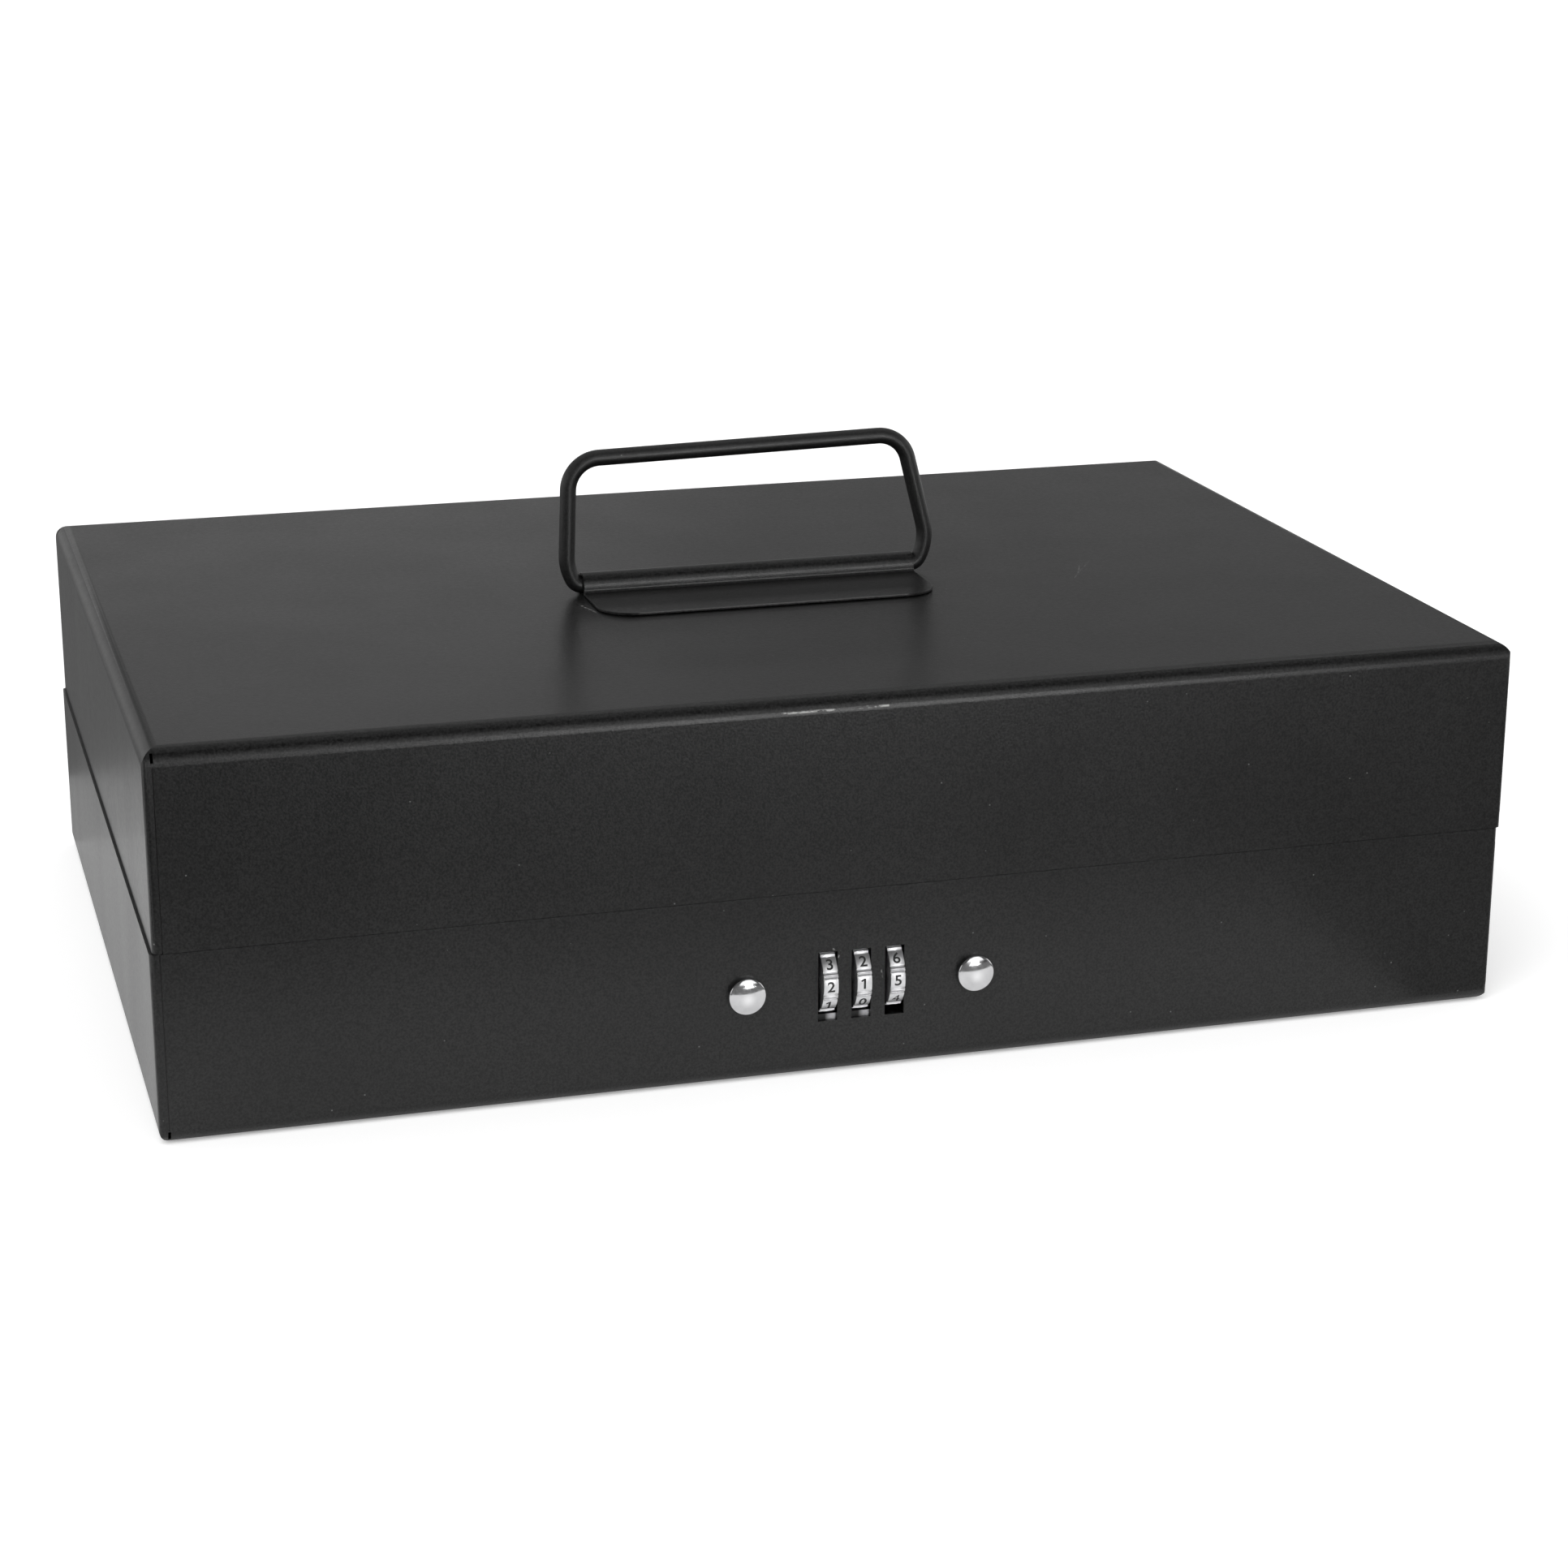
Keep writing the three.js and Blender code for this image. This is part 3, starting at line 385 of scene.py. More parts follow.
def greased(metal, colour):
    """Darkens the left of the lock case behind each slot with painted shade."""
    across = metal.add("ShaderNodeSeparateXYZ")
    metal.link(metal.place, across.inputs["Vector"])
    from_left = metal.math("ADD", across.outputs["X"], SLOT_SHIFT)
    share = metal.math("FRACT", metal.math("DIVIDE", from_left, SLOT_PITCH))
    return metal.blend(metal.ranged(share, SLOT_SHADE_END, SLOT_LIT_START), SLOT_SHADE_TONE, colour)


# The rivets' chrome gets a painted highlight in its middle.
chrome = bright_metal(
    "chrome", (0.6, 0.6, 0.61), (0.7, 0.7, 0.71), 0.07, 0.14, 320.0, bump=0.000003, painted_light=punched)
dial_chrome = bright_metal(
    "dial_chrome", (0.68, 0.68, 0.69), (0.82, 0.82, 0.83), 0.33, 0.4, 700.0, bump=0.000001)
# The lock case's zinc gets painted shade on the left behind each slot.
case_zinc = bright_metal(
    "case_zinc", (0.36, 0.36, 0.37), (0.56, 0.56, 0.57), 0.38, 0.5, 300.0, bump=0.000006, painted_light=greased)
zinc = bright_metal("zinc_plate", (0.5, 0.5, 0.51), (0.68, 0.69, 0.7), 0.3, 0.45, 120.0, bump=0.000004)
spring_steel = bright_metal(
    "spring_steel", (0.3, 0.3, 0.31), (0.45, 0.45, 0.46), 0.25, 0.38, 260.0, stretch=(0.2, 1.0, 1.0))

digit_paint = Finish("digit_paint")
digit_tone = digit_paint.ranged(digit_paint.noise(1500.0), 0.3, 0.7)
digit_paint.coloured(digit_paint.blend(digit_tone, (0.01,) * 3, (0.03,) * 3))
digit_paint.constants(Roughness=0.5)
print("metals:", chrome.name, dial_chrome.name, zinc.name, spring_steel.name, digit_paint.material.name)

# %% [markdown]
# Folded sheet looks real when its cut edges are not razor sharp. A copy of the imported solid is
# merged, its flat faces are made whole again, and a small bevel rounds each cut edge, which then
# catches a thin line of light. The big bends are already round, so they are only shaded smooth, and
# normals weighted by area keep the large faces flat. The seam between lid and base is a hair line,
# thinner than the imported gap, so the lid's rim is lowered, and less at the front of its left wall.

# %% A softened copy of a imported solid


def softened(node, name, edge, segments=2, sharp=35.0):
    """A copy of a node with every edge sharper than sharp degrees rounded by edge millimetres."""
    piece = bpy.data.objects.new(name, nodes[node].data.copy())
    bpy.context.scene.collection.objects.link(piece)
    editing(piece)
    bpy.ops.mesh.select_all(action="SELECT")
    bpy.ops.mesh.remove_doubles(threshold=0.002 * MM)
    bpy.ops.mesh.dissolve_limited(angle_limit=math.radians(1.0))
    done()
    bevel = piece.modifiers.new("edges", "BEVEL")
    bevel.width = edge * MM
    bevel.segments = segments
    bevel.limit_method = "ANGLE"
    bevel.angle_limit = math.radians(sharp)
    bevel.use_clamp_overlap = True
    only(piece)
    bpy.ops.object.modifier_apply(modifier=bevel.name)
    bpy.ops.object.shade_smooth_by_angle(angle=math.radians(sharp))
    flatter = piece.modifiers.new("normals", "WEIGHTED_NORMAL")
    flatter.keep_sharp = True
    flatter.weight = 100
    bpy.ops.object.modifier_apply(modifier=flatter.name)
    return piece


base = softened("base_tray", "base_sheet", 0.14)
finished(base, "base", "base_tray", material=base_coat.material, slot="black_powder_coat")
lid = softened("lid_cover", "lid_sheet", 0.14)
RIM_BAND, RIM_DROP = 0.3 * MM, 0.2
LEFT_DROP_FRONT, LEFT_DROP_GROWTH = 0.04, 0.18
LEFT_BAND, CORNER_LENGTH = MM, 2 * MM
for vertex in lid.data.vertices:
    if vertex.co.z < lid_low.z + RIM_BAND:
        along = (vertex.co.y - front_edge) / (lid_high.y - front_edge)
        on_left = vertex.co.x < lid_low.x + LEFT_BAND and vertex.co.y > front_edge + CORNER_LENGTH
        vertex.co.z -= (LEFT_DROP_FRONT + LEFT_DROP_GROWTH * along if on_left else RIM_DROP) * MM
finished(lid, "lid", "lid_cover", material=lid_coat.material, slot="black_powder_coat")
saddle = softened("handle_saddle", "saddle_strip", 0.16)
finished(saddle, "lid", "handle_saddle", material=saddle_coat.material, slot="black_powder_coat")

# %% [markdown]
# The hinge leaves and the lock's pressed plates get the same treatment in one loop. The small
# turned pieces inside the lock are right as they are, and only take their finish.

# %% Hinges and the plates of the lock

PLATES = {
    "hinge_base_leaf_left": (sheet_coat.material, "black_powder_coat", 0.12),
    "hinge_base_leaf_right": (sheet_coat.material, "black_powder_coat", 0.12),
    "hinge_lid_leaf_left": (sheet_coat.material, "black_powder_coat", 0.12),
    "hinge_lid_leaf_right": (sheet_coat.material, "black_powder_coat", 0.12),
    "hinge_pin_left": (zinc, "zinc_plate", 0.2),
    "hinge_pin_right": (zinc, "zinc_plate", 0.2),
    "lock_case": (case_zinc, "zinc_plate", 0.15),
    "latch_bolt": (zinc, "zinc_plate", 0.12),
    "lid_catch": (zinc, "zinc_plate", 0.15),
    "code_slide": (zinc, "zinc_plate", 0.12),
}
for node, (material, slot, edge) in PLATES.items():
    plate = softened(node, node + "_metal", edge)
    finished(plate, body_of_node[node], node, material=material, slot=slot)

KEPT = {
    "dial_axle": zinc, "tumbler_1": zinc, "tumbler_2": zinc, "tumbler_3": zinc,
    "bolt_guide_left": zinc, "bolt_guide_right": zinc,
    "tumbler_spring": spring_steel, "detent_spring": spring_steel, "latch_spring": spring_steel,
}
for node, material in KEPT.items():
    slots = nodes[node].material_slots
    for slot in slots:
        slot.material = material
    print(node, "takes", material.name)

# %% [markdown]
# The handle is one bent wire. A wire bender makes it from straight runs and bends, one after the
# other, and so does this cell: the wire's end is extruded for each run and spun about a centre
# beside it for each bend. The real grip leans a little, so each side's leg has its own lean: it is
# the line that touches the sweep at its foot and ends in the corner of the grip.

# %% Sizes of the handle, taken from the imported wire

handle_low, handle_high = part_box("handle_bail")
pivot = Vector(joints["handle_swing"]["pos_m"])
pivot.x = (handle_low.x + handle_high.x) / 2
WIRE_RADIUS = (handle_high.y - handle_low.y) / 2
FOOT_HALF = handle_high.x - WIRE_RADIUS - pivot.x
GRIP_HALF = 48.25 * MM
GRIP_SHIFT, GRIP_RISE, GRIP_HEIGHT = -3.05 * MM, 2.1 * MM, 36.7 * MM
FOOT_BEND, SWEEP_BEND, GRIP_BEND = 3.2 * MM, 14.0 * MM, 9.0 * MM
FOOT_TURN = math.radians(62.0)
END_GAP = 1.5 * MM
WIRE_SIDES = 32
grip_slope = math.atan2(GRIP_RISE, 2 * GRIP_HALF)
sweep_top = FOOT_BEND * (1 - math.cos(FOOT_TURN)) + SWEEP_BEND * math.cos(FOOT_TURN)
foot_run = FOOT_HALF - SWEEP_BEND * (1 - math.sin(FOOT_TURN)) - FOOT_BEND * math.sin(FOOT_TURN) - END_GAP


def grip_corner(side):
    """The lean of one leg, and where the corner above it begins and ends, seen from the pivot."""
    height = GRIP_HEIGHT + side * GRIP_RISE / 2
    half = GRIP_HALF + side * GRIP_SHIFT
    inwards, rise = half - FOOT_HALF + SWEEP_BEND, height - sweep_top
    lean = math.atan2(rise, inwards) - math.acos(SWEEP_BEND / math.hypot(inwards, rise))
    turn = math.pi / 2 + side * grip_slope
    setback = GRIP_BEND * math.tan((turn - lean) / 2)
    bar_x = side * (half - setback * math.cos(grip_slope))
    bar_end = Vector((bar_x, height - side * setback * math.sin(grip_slope)))
    leg_end = Vector((side * (half + setback * math.sin(lean)), height - setback * math.cos(lean)))
    return lean, leg_end, bar_end


print("wire radius", round(WIRE_RADIUS / MM, 3), "foot half width", round(FOOT_HALF / MM, 3))

# %% Bend the wire

bpy.ops.object.select_all(action="DESELECT")
bpy.ops.mesh.primitive_circle_add(
    vertices=WIRE_SIDES, radius=WIRE_RADIUS, fill_type="NGON",
    location=(pivot.x + END_GAP, pivot.y, pivot.z), rotation=(0.0, math.pi / 2, 0.0))
wire = bpy.context.active_object
wire.name = "handle_wire"
settle(wire)
editing(wire)
bpy.ops.mesh.select_all(action="SELECT")


class WireEnd:
    """Where the free end of the wire is, and which way it points."""

    def __init__(self, place):
        self.place = place
        self.heading = 0.0

    def run(self, length):
        step = Vector((math.cos(self.heading), 0.0, math.sin(self.heading))) * length
        bpy.ops.mesh.extrude_region_move(TRANSFORM_OT_translate={"value": step})
        self.place = self.place + step

    def bend(self, radius, angle, steps):
        inward = Vector((-math.sin(self.heading), 0.0, math.cos(self.heading)))
        centre = self.place + inward * radius
        bpy.ops.mesh.spin(steps=steps, angle=angle, center=centre, axis=(0.0, 1.0, 0.0))
        self.place = centre + Matrix.Rotation(-angle, 3, "Y") @ (self.place - centre)
        self.heading += angle


right_lean, right_leg_end, right_bar_end = grip_corner(1)
left_lean, left_leg_end, left_bar_end = grip_corner(-1)
end = WireEnd(Vector((pivot.x + END_GAP, pivot.y, pivot.z)))
end.run(foot_run)
end.bend(FOOT_BEND, FOOT_TURN, 10)
end.bend(SWEEP_BEND, math.pi / 2 + right_lean - FOOT_TURN, 14)
end.run((pivot.z + right_leg_end.y - end.place.z) / math.cos(right_lean))
end.bend(GRIP_BEND, math.pi + grip_slope - end.heading, 20)
end.run((right_bar_end - left_bar_end).length)
end.bend(GRIP_BEND, 1.5 * math.pi - left_lean - end.heading, 20)
left_leg_start = sweep_top + SWEEP_BEND * math.sin(left_lean)
end.run((end.place.z - pivot.z - left_leg_start) / math.cos(left_lean))
end.bend(SWEEP_BEND, 2 * math.pi - FOOT_TURN - end.heading, 14)
end.bend(FOOT_BEND, FOOT_TURN, 10)
end.run(pivot.x - END_GAP - end.place.x)
bpy.ops.mesh.select_all(action="SELECT")
bpy.ops.mesh.remove_doubles(threshold=0.002 * MM)
bpy.ops.mesh.normals_make_consistent(inside=False)
done()
only(wire)
bpy.ops.object.shade_smooth_by_angle(angle=math.radians(50.0))
wire_x = [vertex.co.x for vertex in wire.data.vertices]
past_left, past_right = (min(wire_x) - handle_low.x) / MM, (max(wire_x) - handle_high.x) / MM
print("wire ends at", [round(value / MM, 3) for value in end.place - pivot], "mm from its pivot")
print("against the packed wire, left and right:", round(past_left, 3), round(past_right, 3), "mm")
finished(wire, "handle", "handle_bail", material=wire_coat.material, slot="black_painted_wire")

# %% [markdown]
# A rivet is a turned form: half its outline is drawn as a chain of points and spun about its own
# axis. The head is a shallow dome with a small rolled rim, and its bright chrome shows the floor
# below and the dark room above, which is most of its look.

# %% Turn the rivets


RIVET_RIM = 0.28 * MM
DOME_RISE = 0.7 * MM
RIVET_SHANK, RIVET_TAIL = 2.0 * MM, 3.2 * MM
DOME_STEPS = 14


def rivet_outline(low, high):
    """Half the rivet's outline, from the middle of the dome to the end of the tail, as (radius, y)."""
    head = (high.x - low.x) / 2
    seat_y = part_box("base_tray")[0].y - 0.1 * MM
    ear_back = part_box("lock_case")[0].y + 1.25 * MM
    dome_edge = head - RIVET_RIM
    ball = (dome_edge ** 2 + DOME_RISE ** 2) / (2 * DOME_RISE)
    sweep = math.asin(dome_edge / ball)
    points = []
    for i in range(DOME_STEPS + 1):
        angle = sweep * i / DOME_STEPS
        points.append((ball * math.sin(angle), low.y + ball * (1 - math.cos(angle))))
    rim_y = low.y + DOME_RISE
    points += [
        (head - RIVET_RIM * 0.45, rim_y + RIVET_RIM * 0.35),
        (head - RIVET_RIM * 0.12, rim_y + RIVET_RIM * 0.8), (head, rim_y + RIVET_RIM * 1.4),
        (head, seat_y), (RIVET_SHANK, seat_y), (RIVET_SHANK, ear_back),
        (RIVET_TAIL, ear_back), (RIVET_TAIL * 0.8, high.y), (0.0, high.y)]
    return points


def turned_rivet(node):
    low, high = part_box(node)
    centre = (low + high) / 2
    outline = rivet_outline(low, high)
    mesh = bpy.data.meshes.new(node + "_turned")
    links = [(i, i + 1) for i in range(len(outline) - 1)]
    mesh.from_pydata([(centre.x + radius, y, centre.z) for radius, y in outline], links, [])
    rivet = bpy.data.objects.new(node + "_turned", mesh)
    bpy.context.scene.collection.objects.link(rivet)
    editing(rivet)
    bpy.ops.mesh.select_all(action="SELECT")
    bpy.ops.mesh.spin(steps=64, angle=2 * math.pi, center=centre, axis=(0.0, 1.0, 0.0))
    bpy.ops.mesh.select_all(action="SELECT")
    bpy.ops.mesh.remove_doubles(threshold=0.001 * MM)
    bpy.ops.mesh.normals_make_consistent(inside=False)
    done()
    only(rivet)
    bpy.ops.object.shade_smooth_by_angle(angle=math.radians(50.0))
    return rivet


for node in ("lock_rivet_left", "lock_rivet_right"):
    finished(turned_rivet(node), "base", node, material=chrome, slot="chrome_plate")

# %% [markdown]
# A dial is a short round bar: its outline has ten broad faces with a double ridge between each
# two, so that a fingertip can turn it. The outline is drawn once as a ring of points, filled, and
# extruded to the dial's width. The bore has a notch behind each face, for the tumbler's key.

# %% Outline and bore of a dial

DIGIT_COUNT = 10
FACE_PITCH = 2 * math.pi / DIGIT_COUNT
DIAL_NODE = "dial_2"
dial_low, dial_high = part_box(DIAL_NODE)
dial_axis = Vector(joints["dial_2_turn"]["pos_m"])
FACE_RADIUS = dial_axis.y - dial_low.y
DIAL_RADIUS = FACE_RADIUS / 0.979
GROOVE_RADIUS, MIDDLE_GROOVE_RADIUS = 0.942 * DIAL_RADIUS, 0.967 * DIAL_RADIUS
SHOULDER_RADIUS = 0.994 * DIAL_RADIUS
FACE_END = 0.335
RIDGE = [
    (0.342, GROOVE_RADIUS), (0.360, GROOVE_RADIUS), (0.444, SHOULDER_RADIUS), (0.458, DIAL_RADIUS),
    (0.474, DIAL_RADIUS), (0.488, MIDDLE_GROOVE_RADIUS),
]
FACE_STEPS = 6
BORE_RADIUS, NOTCH_RADIUS, NOTCH_HALF = 2.9 * MM, 4.3 * MM, 0.9 * MM


def dial_outline():
    """The dial's outline as (share of a turn, radius); each face is centred on a whole digit."""
    arc = [(FACE_END * i / FACE_STEPS, FACE_RADIUS) for i in range(FACE_STEPS + 1)]
    half = arc + RIDGE
    return half + [(1 - share, radius) for share, radius in reversed(half[1:])]


def bore_outline():
    """The notched bore: each notch meets the next one in a point."""
    valley = NOTCH_HALF / math.sin(FACE_PITCH / 2)
    reach = math.hypot(NOTCH_RADIUS, NOTCH_HALF)
    edge = math.asin(NOTCH_HALF / reach) / FACE_PITCH
    return [(0.0, NOTCH_RADIUS), (edge, reach), (0.5, max(valley, BORE_RADIUS)), (1 - edge, reach)]


def extruded_ring(name, outline, low_x, high_x):
    """A prism along X with this outline repeated ten times round the dial's axis."""
    corners = []
    for i in range(DIGIT_COUNT):
        for share, radius in outline:
            angle = (i + share) * FACE_PITCH
            y, z = dial_axis.y - radius * math.cos(angle), dial_axis.z - radius * math.sin(angle)
            corners.append((low_x, y, z))
    mesh = bpy.data.meshes.new(name)
    mesh.from_pydata(corners, [], [tuple(range(len(corners)))])
    prism = bpy.data.objects.new(name, mesh)
    bpy.context.scene.collection.objects.link(prism)
    editing(prism)
    bpy.ops.mesh.select_all(action="SELECT")
    bpy.ops.mesh.extrude_region_move(TRANSFORM_OT_translate={"value": (high_x - low_x, 0.0, 0.0)})
    bpy.ops.mesh.select_all(action="SELECT")
    bpy.ops.mesh.normals_make_consistent(inside=False)
    done()
    return prism


def cut_from(piece, cutter):
    """Takes one closed form out of another, and removes the cutter."""
    cut = piece.modifiers.new("cut", "BOOLEAN")
    cut.operation = "DIFFERENCE"
    cut.solver = "EXACT"
    cut.material_mode = "TRANSFER"
    cut.object = cutter
    only(piece)
    bpy.ops.object.modifier_apply(modifier=cut.name)
    bpy.data.objects.remove(cutter)


RIM_SOFTENING = 0.05 * MM
master = extruded_ring("dial_master", dial_outline(), dial_low.x, dial_high.x)
editing(master, mode="EDGE")
done()
for edge in master.data.edges:
    ends = [master.data.vertices[i].co.x for i in edge.vertices]
    edge.select = all(min(abs(x - dial_low.x), abs(x - dial_high.x)) < 0.001 * MM for x in ends)
only(master)
bpy.ops.object.mode_set(mode="EDIT")
bpy.ops.mesh.bevel(offset=RIM_SOFTENING, segments=2, affect="EDGES")
done()
master.data.materials.append(dial_chrome)
cut_from(master, extruded_ring("bore", bore_outline(), dial_low.x - MM, dial_high.x + MM))
print("dial faces:", len(master.data.polygons), "face radius", round(FACE_RADIUS / MM, 3))

# %% [markdown]
# The digits are stamped in and filled with black paint. Each is text turned into a mesh, laid on
# its face and cut out of the metal, and the floor of the cut keeps the paint's material. The font's
# 1 is a bare stroke, so it gets a flag of its own, and its 4 would close up if it were made bolder.
# The dial is then copied for each slot, turned so that the right digit faces the front.

# %% Stamp ten digits into the dial

DIGIT_SIZE = 3.95 * MM
DIGIT_WIDENING = 1.1
DIGIT_BOLDNESS = 0.07 * MM
THIN_DIGITS = (4,)
FLAG_TIP, FLAG_TOP = Vector((-0.85, 0.75, 0.0)) * MM, Vector((0.0, 1.25, 0.0)) * MM
FLAG_STROKE = 0.42 * MM
DIGIT_DEPTH = 0.22 * MM
DIGIT_PLAY = 0.1 * MM
FRONT_DIGITS = {"dial_1": 2, "dial_2": 1, "dial_3": 5}


def on_face(cutter, number):
    """Lays a flat cutter on the front face and turns it up round the dial by its number."""
    cutter.data.transform(Matrix.Diagonal((DIGIT_WIDENING, 1.0, 1.0, 1.0)))
    cutter.data.transform(Matrix.Rotation(math.pi / 2, 4, "X"))
    depth_middle = FACE_RADIUS + (DIGIT_PLAY - DIGIT_DEPTH) / 2
    cutter.data.transform(Matrix.Translation((0.0, -depth_middle, 0.0)))
    turn = Matrix.Rotation(-FACE_PITCH * number, 4, "X")
    cutter.data.transform(Matrix.Translation(dial_axis) @ turn)
    cutter.data.materials.clear()
    cutter.data.materials.append(digit_paint.material)
    return cutter


def flag_cutter():
    """The short slanted stroke at the top of the 1."""
    stroke = FLAG_TOP - FLAG_TIP
    bpy.ops.object.select_all(action="DESELECT")
    bpy.ops.mesh.primitive_cube_add(
        size=1.0, location=(FLAG_TIP + FLAG_TOP) / 2, rotation=(0.0, 0.0, math.atan2(stroke.y, stroke.x)),
        scale=(stroke.length, FLAG_STROKE, DIGIT_DEPTH + DIGIT_PLAY))
    flag = bpy.context.active_object
    settle(flag)
    return on_face(flag, 1)


def digit_cutter(number):
    """One digit, as text turned into a mesh and centred on its face."""
    bpy.ops.object.select_all(action="DESELECT")
    bpy.ops.object.text_add(location=(0.0, 0.0, 0.0))
    text = bpy.context.active_object
    text.data.body = str(number)
    text.data.size = DIGIT_SIZE
    text.data.extrude = (DIGIT_DEPTH + DIGIT_PLAY) / 2
    text.data.offset = 0.0 if number in THIN_DIGITS else DIGIT_BOLDNESS
    text.data.resolution_u = 5
    bpy.ops.object.convert(target="MESH")
    cutter = bpy.context.active_object
    editing(cutter)
    bpy.ops.mesh.select_all(action="SELECT")
    bpy.ops.mesh.remove_doubles(threshold=0.001 * MM)
    bpy.ops.mesh.normals_make_consistent(inside=False)
    done()
    corners = [vertex.co for vertex in cutter.data.vertices]
    middle = [(min(c[k] for c in corners) + max(c[k] for c in corners)) / 2 for k in (0, 1)]
    cutter.data.transform(Matrix.Translation((-middle[0], -middle[1], 0.0)))
    return on_face(cutter, number)


for number in range(DIGIT_COUNT):
    cut_from(master, digit_cutter(number))
cut_from(master, flag_cutter())
editing(master)
bpy.ops.mesh.select_all(action="SELECT")
bpy.ops.mesh.remove_doubles(threshold=0.001 * MM)
done()
only(master)
bpy.ops.object.shade_smooth_by_angle(angle=math.radians(25.0))
print("stamped dial:", len(master.data.polygons), "faces")

# %% Copy the dial for each slot

for node, number in FRONT_DIGITS.items():
    place = Vector(joints[node + "_turn"]["pos_m"])
    dial = bpy.data.objects.new(node + "_stamped", master.data.copy())
    bpy.context.scene.collection.objects.link(dial)
    turn = Matrix.Rotation(FACE_PITCH * number, 4, "X")
    dial.data.transform(Matrix.Translation(place) @ turn @ Matrix.Translation(-dial_axis))
    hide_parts(node)
    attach(dial, node)
    print(dial.name, "shows", number)
bpy.data.objects.remove(master)

# %% [markdown]
# The camera stands where the photographer stood: slightly to the left, looking down at the box.
# Its place and lens were worked out from the box's straight edges. A small shift takes the place
# of the crop.

# %% Camera

CAMERA_PLACE = Vector((-0.24777, -0.89796, 0.33458))
YAW, TILT, ROLL = math.radians(16.6407), math.radians(17.4545), math.radians(0.2378)
FOCAL_PIXELS, PICTURE_SIDE = 4160.08, 1932.0
MIDDLE = (988.91, 960.86)

forward = Vector((math.sin(YAW) * math.cos(TILT), math.cos(YAW) * math.cos(TILT), -math.sin(TILT)))
level = Vector((math.cos(YAW), -math.sin(YAW), 0.0))
upright = level.cross(forward)
right = level * math.cos(ROLL) + upright * math.sin(ROLL)
up = upright * math.cos(ROLL) - level * math.sin(ROLL)
camera_data = bpy.data.cameras.new("camera")
camera = bpy.data.objects.new("camera", camera_data)
bpy.context.scene.collection.objects.link(camera)
turn = Matrix((right, up, -forward)).transposed().to_4x4()
camera.matrix_world = Matrix.Translation(CAMERA_PLACE) @ turn
camera_data.lens = FOCAL_PIXELS / PICTURE_SIDE * camera_data.sensor_width
camera_data.shift_x = (PICTURE_SIDE / 2 - MIDDLE[0]) / PICTURE_SIDE
camera_data.shift_y = (MIDDLE[1] - PICTURE_SIDE / 2) / PICTURE_SIDE
camera_data.clip_start, camera_data.clip_end = 0.01, 50.0
bpy.context.scene.camera = camera
print("lens", round(camera_data.lens, 2))
print("shift", round(camera_data.shift_x, 4), round(camera_data.shift_y, 4))

# %% [markdown]
# A plain white floor, which keeps the box's shadow. It glows a little for the camera and for
# reflections alone, so that the picture's ground is white without more light on the box.

# %% Floor


def plain_plane(name, size, place, turn):
    bpy.ops.object.select_all(action="DESELECT")
    bpy.ops.mesh.primitive_plane_add(size=1.0, location=place, rotation=turn)
    plane = bpy.context.active_object
    plane.name = name
    plane.scale = (size[0], size[1], 1.0)
    settle(plane)
    return plane


floor = plain_plane("floor", (30.0, 30.0), (0.0, 0.0, -0.0002), (0.0, 0.0, 0.0))
floor_paint = Finish("floor_paint")
floor_paint.coloured(floor_paint.blend(
    floor_paint.ranged(floor_paint.noise(3.0), 0.3, 0.7), (0.9, 0.9, 0.9), (0.91, 0.91, 0.91)))
floor_paint.constants(Roughness=0.9, Specular_IOR_Level=0.1, Emission_Color=(1.0, 1.0, 1.0, 1.0))
paths = floor_paint.add("ShaderNodeLightPath")
camera_glow = floor_paint.math("MULTIPLY", paths.outputs["Is Camera Ray"], 0.33)
mirror_glow = floor_paint.math("MULTIPLY", paths.outputs["Is Glossy Ray"], 0.15)
floor_glow = floor_paint.math("ADD", camera_glow, mirror_glow)
floor_paint.link(floor_glow, floor_paint.shader.inputs["Emission Strength"])
floor.data.materials.append(floor_paint.material)
print("floor:", [round(side, 1) for side in floor.dimensions])

# %% [markdown]
# Black paint and chrome are mostly seen by what they reflect. So fifteen cards stand out of the
# picture, as in a studio: a dark room and table with a bright light box in front, glowing panels
# above it, a ceiling, and a backdrop behind. Only reflections see them, and they draw the dark and
# light bands on the bends. They were placed for this view, by comparing it with the photograph.

# %% Cards for the metal and the coat to reflect


def card(name, size, place, turn, shade, mottle=0.0, patches=2.2):
    """A glossy-only card: it is seen in reflections, and casts neither light nor shadow."""
    plane = plain_plane(name, size, place, turn)
    paper = bpy.data.materials.new(name + "_paper")
    paper.use_nodes = True
    tree = paper.node_tree
    tree.nodes.clear()
    glow = tree.nodes.new("ShaderNodeEmission")
    glow.inputs["Color"].default_value = (1.0, 1.0, 1.0, 1.0)
    glow.inputs["Strength"].default_value = shade
    if mottle:
        place_node = tree.nodes.new("ShaderNodeTexCoord")
        clouds = tree.nodes.new("ShaderNodeTexNoise")
        clouds.inputs["Scale"].default_value = patches
        clouds.inputs["Detail"].default_value = 4.0
        tree.links.new(place_node.outputs["Object"], clouds.inputs["Vector"])
        spread = tree.nodes.new("ShaderNodeMapRange")
        spread.inputs["From Min"].default_value = 0.35
        spread.inputs["From Max"].default_value = 0.65
        spread.inputs["To Min"].default_value = shade - mottle
        spread.inputs["To Max"].default_value = shade + mottle
        tree.links.new(clouds.outputs["Fac"], spread.inputs["Value"])
        tree.links.new(spread.outputs["Result"], glow.inputs["Strength"])
    output = tree.nodes.new("ShaderNodeOutputMaterial")
    tree.links.new(glow.outputs["Emission"], output.inputs["Surface"])
    plane.data.materials.append(paper)
    plane.visible_camera = False
    plane.visible_diffuse = False
    plane.visible_shadow = False
    plane.visible_transmission = False
    return plane


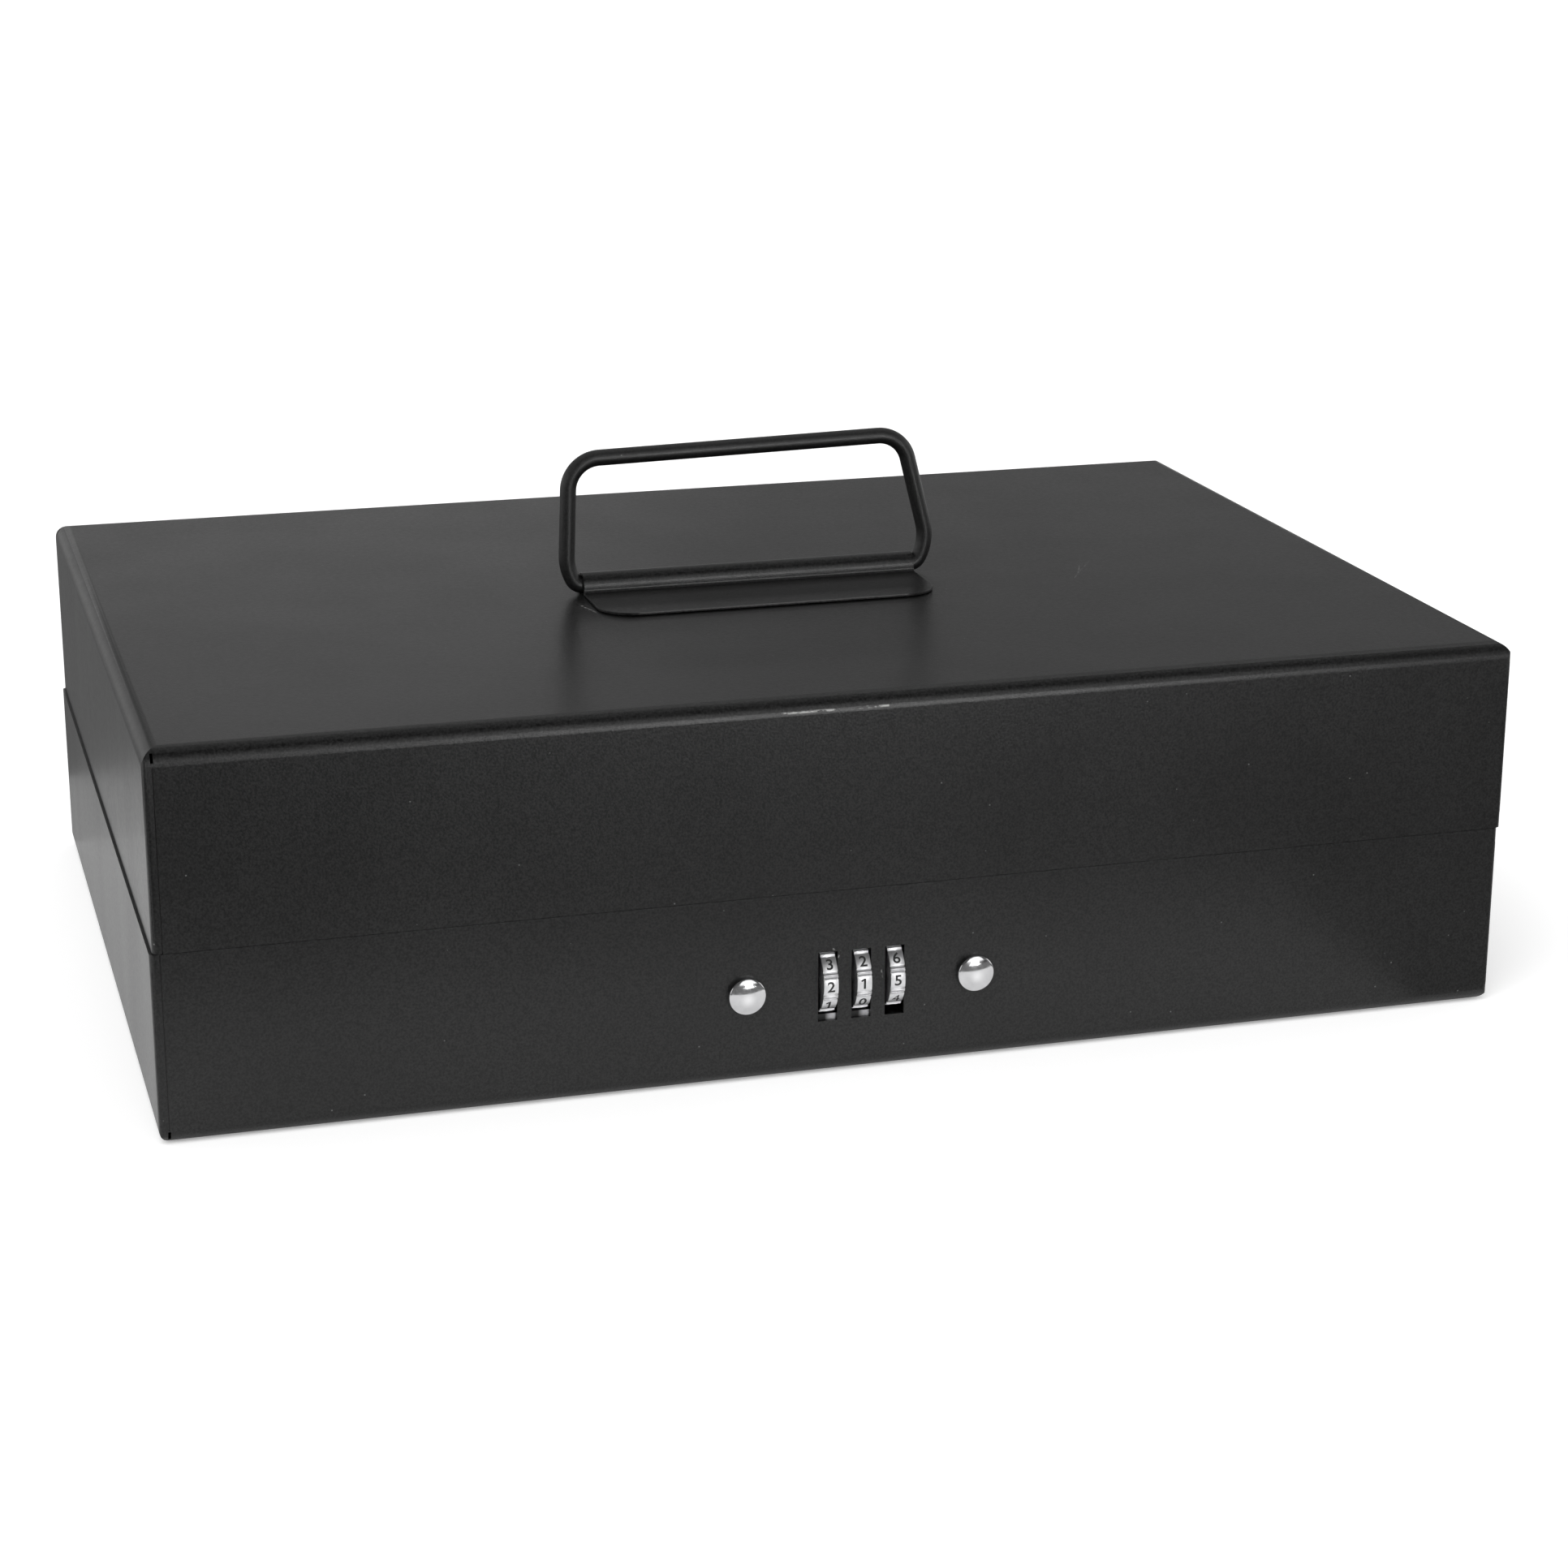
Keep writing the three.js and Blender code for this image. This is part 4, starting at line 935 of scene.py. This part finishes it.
LIGHT_SIDE = math.radians(14.5)
LIGHT_REACH = 2.4
light_x, light_y = LIGHT_REACH * math.sin(LIGHT_SIDE), -LIGHT_REACH * math.cos(LIGHT_SIDE)
standing = (math.pi / 2, 0.0, 0.0)
to_light = (math.pi / 2, 0.0, LIGHT_SIDE)
lying = (0.0, 0.0, 0.0)
spill_x, spill_y = 0.7 * light_x, 0.7 * light_y
# Each card: name, size, place, turn, shade, how far its patches vary, patches in a metre.
CARDS = [
    ("dark_room", (7.0, 2.3), (0.3, -3.0, 1.15), standing, 0.14, 0.1, 2.2),
    ("dark_table", (7.0, 2.77), (0.3, -1.612, 0.0006), lying, 0.2, 0.13, 40.0),
    ("dark_right", (1.2, 0.1), (0.76, -0.176, 0.0006), lying, 0.4, 0.0, 0.0),
    ("dark_left", (0.6, 2.0), (-0.45, 1.19, 0.0006), lying, 0.26, 0.0, 0.0),
    ("dim_left", (0.6, 0.07), (-0.45, 0.155, 0.0006), lying, 0.66, 0.0, 0.0),
    ("light_box", (0.5, 0.42), (light_x, light_y, 0.212), to_light, 13.0, 0.0, 0.0),
    ("light_spill", (0.4, 1.4), (spill_x, spill_y, 0.0012), (0.0, 0.0, LIGHT_SIDE), 8.0, 0.0, 0.0),
    ("glow_above", (1.45, 1.4), (1.04 * light_x, 1.04 * light_y, 0.91), to_light, 1.5, 0.0, 0.0),
    ("ceiling_glow", (1.2, 0.7), (0.75, -2.05, 1.62), lying, 1.5, 0.0, 0.0),
    ("front_ceiling", (7.0, 2.65), (0.0, -1.675, 1.7), lying, 0.08, 0.0, 0.0),
    ("rear_ceiling", (7.0, 3.75), (0.0, 1.525, 1.7), lying, 0.45, 0.0, 0.0),
    ("low_left_backdrop", (4.0, 1.0), (-1.2, 3.4, 0.5), standing, 0.62, 0.0, 0.0),
    ("low_right_backdrop", (4.0, 1.0), (2.8, 3.4, 0.5), standing, 0.45, 0.0, 0.0),
    ("high_left_backdrop", (4.0, 0.7), (-1.2, 3.4, 1.35), standing, 0.14, 0.0, 0.0),
    ("high_right_backdrop", (4.0, 0.7), (2.8, 3.4, 1.35), standing, 0.03, 0.0, 0.0),
]
for name, size, place, turn, shade, mottle, patches in CARDS:
    piece = card(name, size, place, turn, shade, mottle, patches)
    print("card:", piece.name)

# %% [markdown]
# The world gives even light, and is white wherever the camera or a reflection sees it. One broad
# soft sun adds shape and the shadow on the floor.

# %% World and sun

world = bpy.data.worlds.new("studio")
bpy.context.scene.world = world
world.use_nodes = True
tree = world.node_tree
tree.nodes.clear()
WORLD_LIGHT, SUN_LIGHT = 0.55, 1.6
path = tree.nodes.new("ShaderNodeLightPath")
direct = tree.nodes.new("ShaderNodeMath")
direct.operation = "MAXIMUM"
tree.links.new(path.outputs["Is Camera Ray"], direct.inputs[0])
tree.links.new(path.outputs["Is Glossy Ray"], direct.inputs[1])
clear = tree.nodes.new("ShaderNodeMath")
clear.operation = "MAXIMUM"
tree.links.new(direct.outputs[0], clear.inputs[0])
tree.links.new(path.outputs["Is Transmission Ray"], clear.inputs[1])
level_node = tree.nodes.new("ShaderNodeMapRange")
level_node.inputs["To Min"].default_value = WORLD_LIGHT
level_node.inputs["To Max"].default_value = 1.0
tree.links.new(clear.outputs[0], level_node.inputs["Value"])
sky = tree.nodes.new("ShaderNodeBackground")
tree.links.new(level_node.outputs["Result"], sky.inputs["Strength"])
world_out = tree.nodes.new("ShaderNodeOutputWorld")
tree.links.new(sky.outputs["Background"], world_out.inputs["Surface"])
sky.inputs["Color"].default_value = (1.0, 1.0, 1.0, 1.0)

sun_data = bpy.data.lights.new("soft_sun", "SUN")
sun_data.energy = SUN_LIGHT
sun_data.angle = math.radians(50.0)
sun = bpy.data.objects.new("soft_sun", sun_data)
sun.rotation_euler = (math.radians(28.0), math.radians(-22.0), 0.0)
sun.visible_glossy = False
bpy.context.scene.collection.objects.link(sun)
bpy.context.scene.view_settings.view_transform = "Standard"
print("world", WORLD_LIGHT, "sun", SUN_LIGHT)
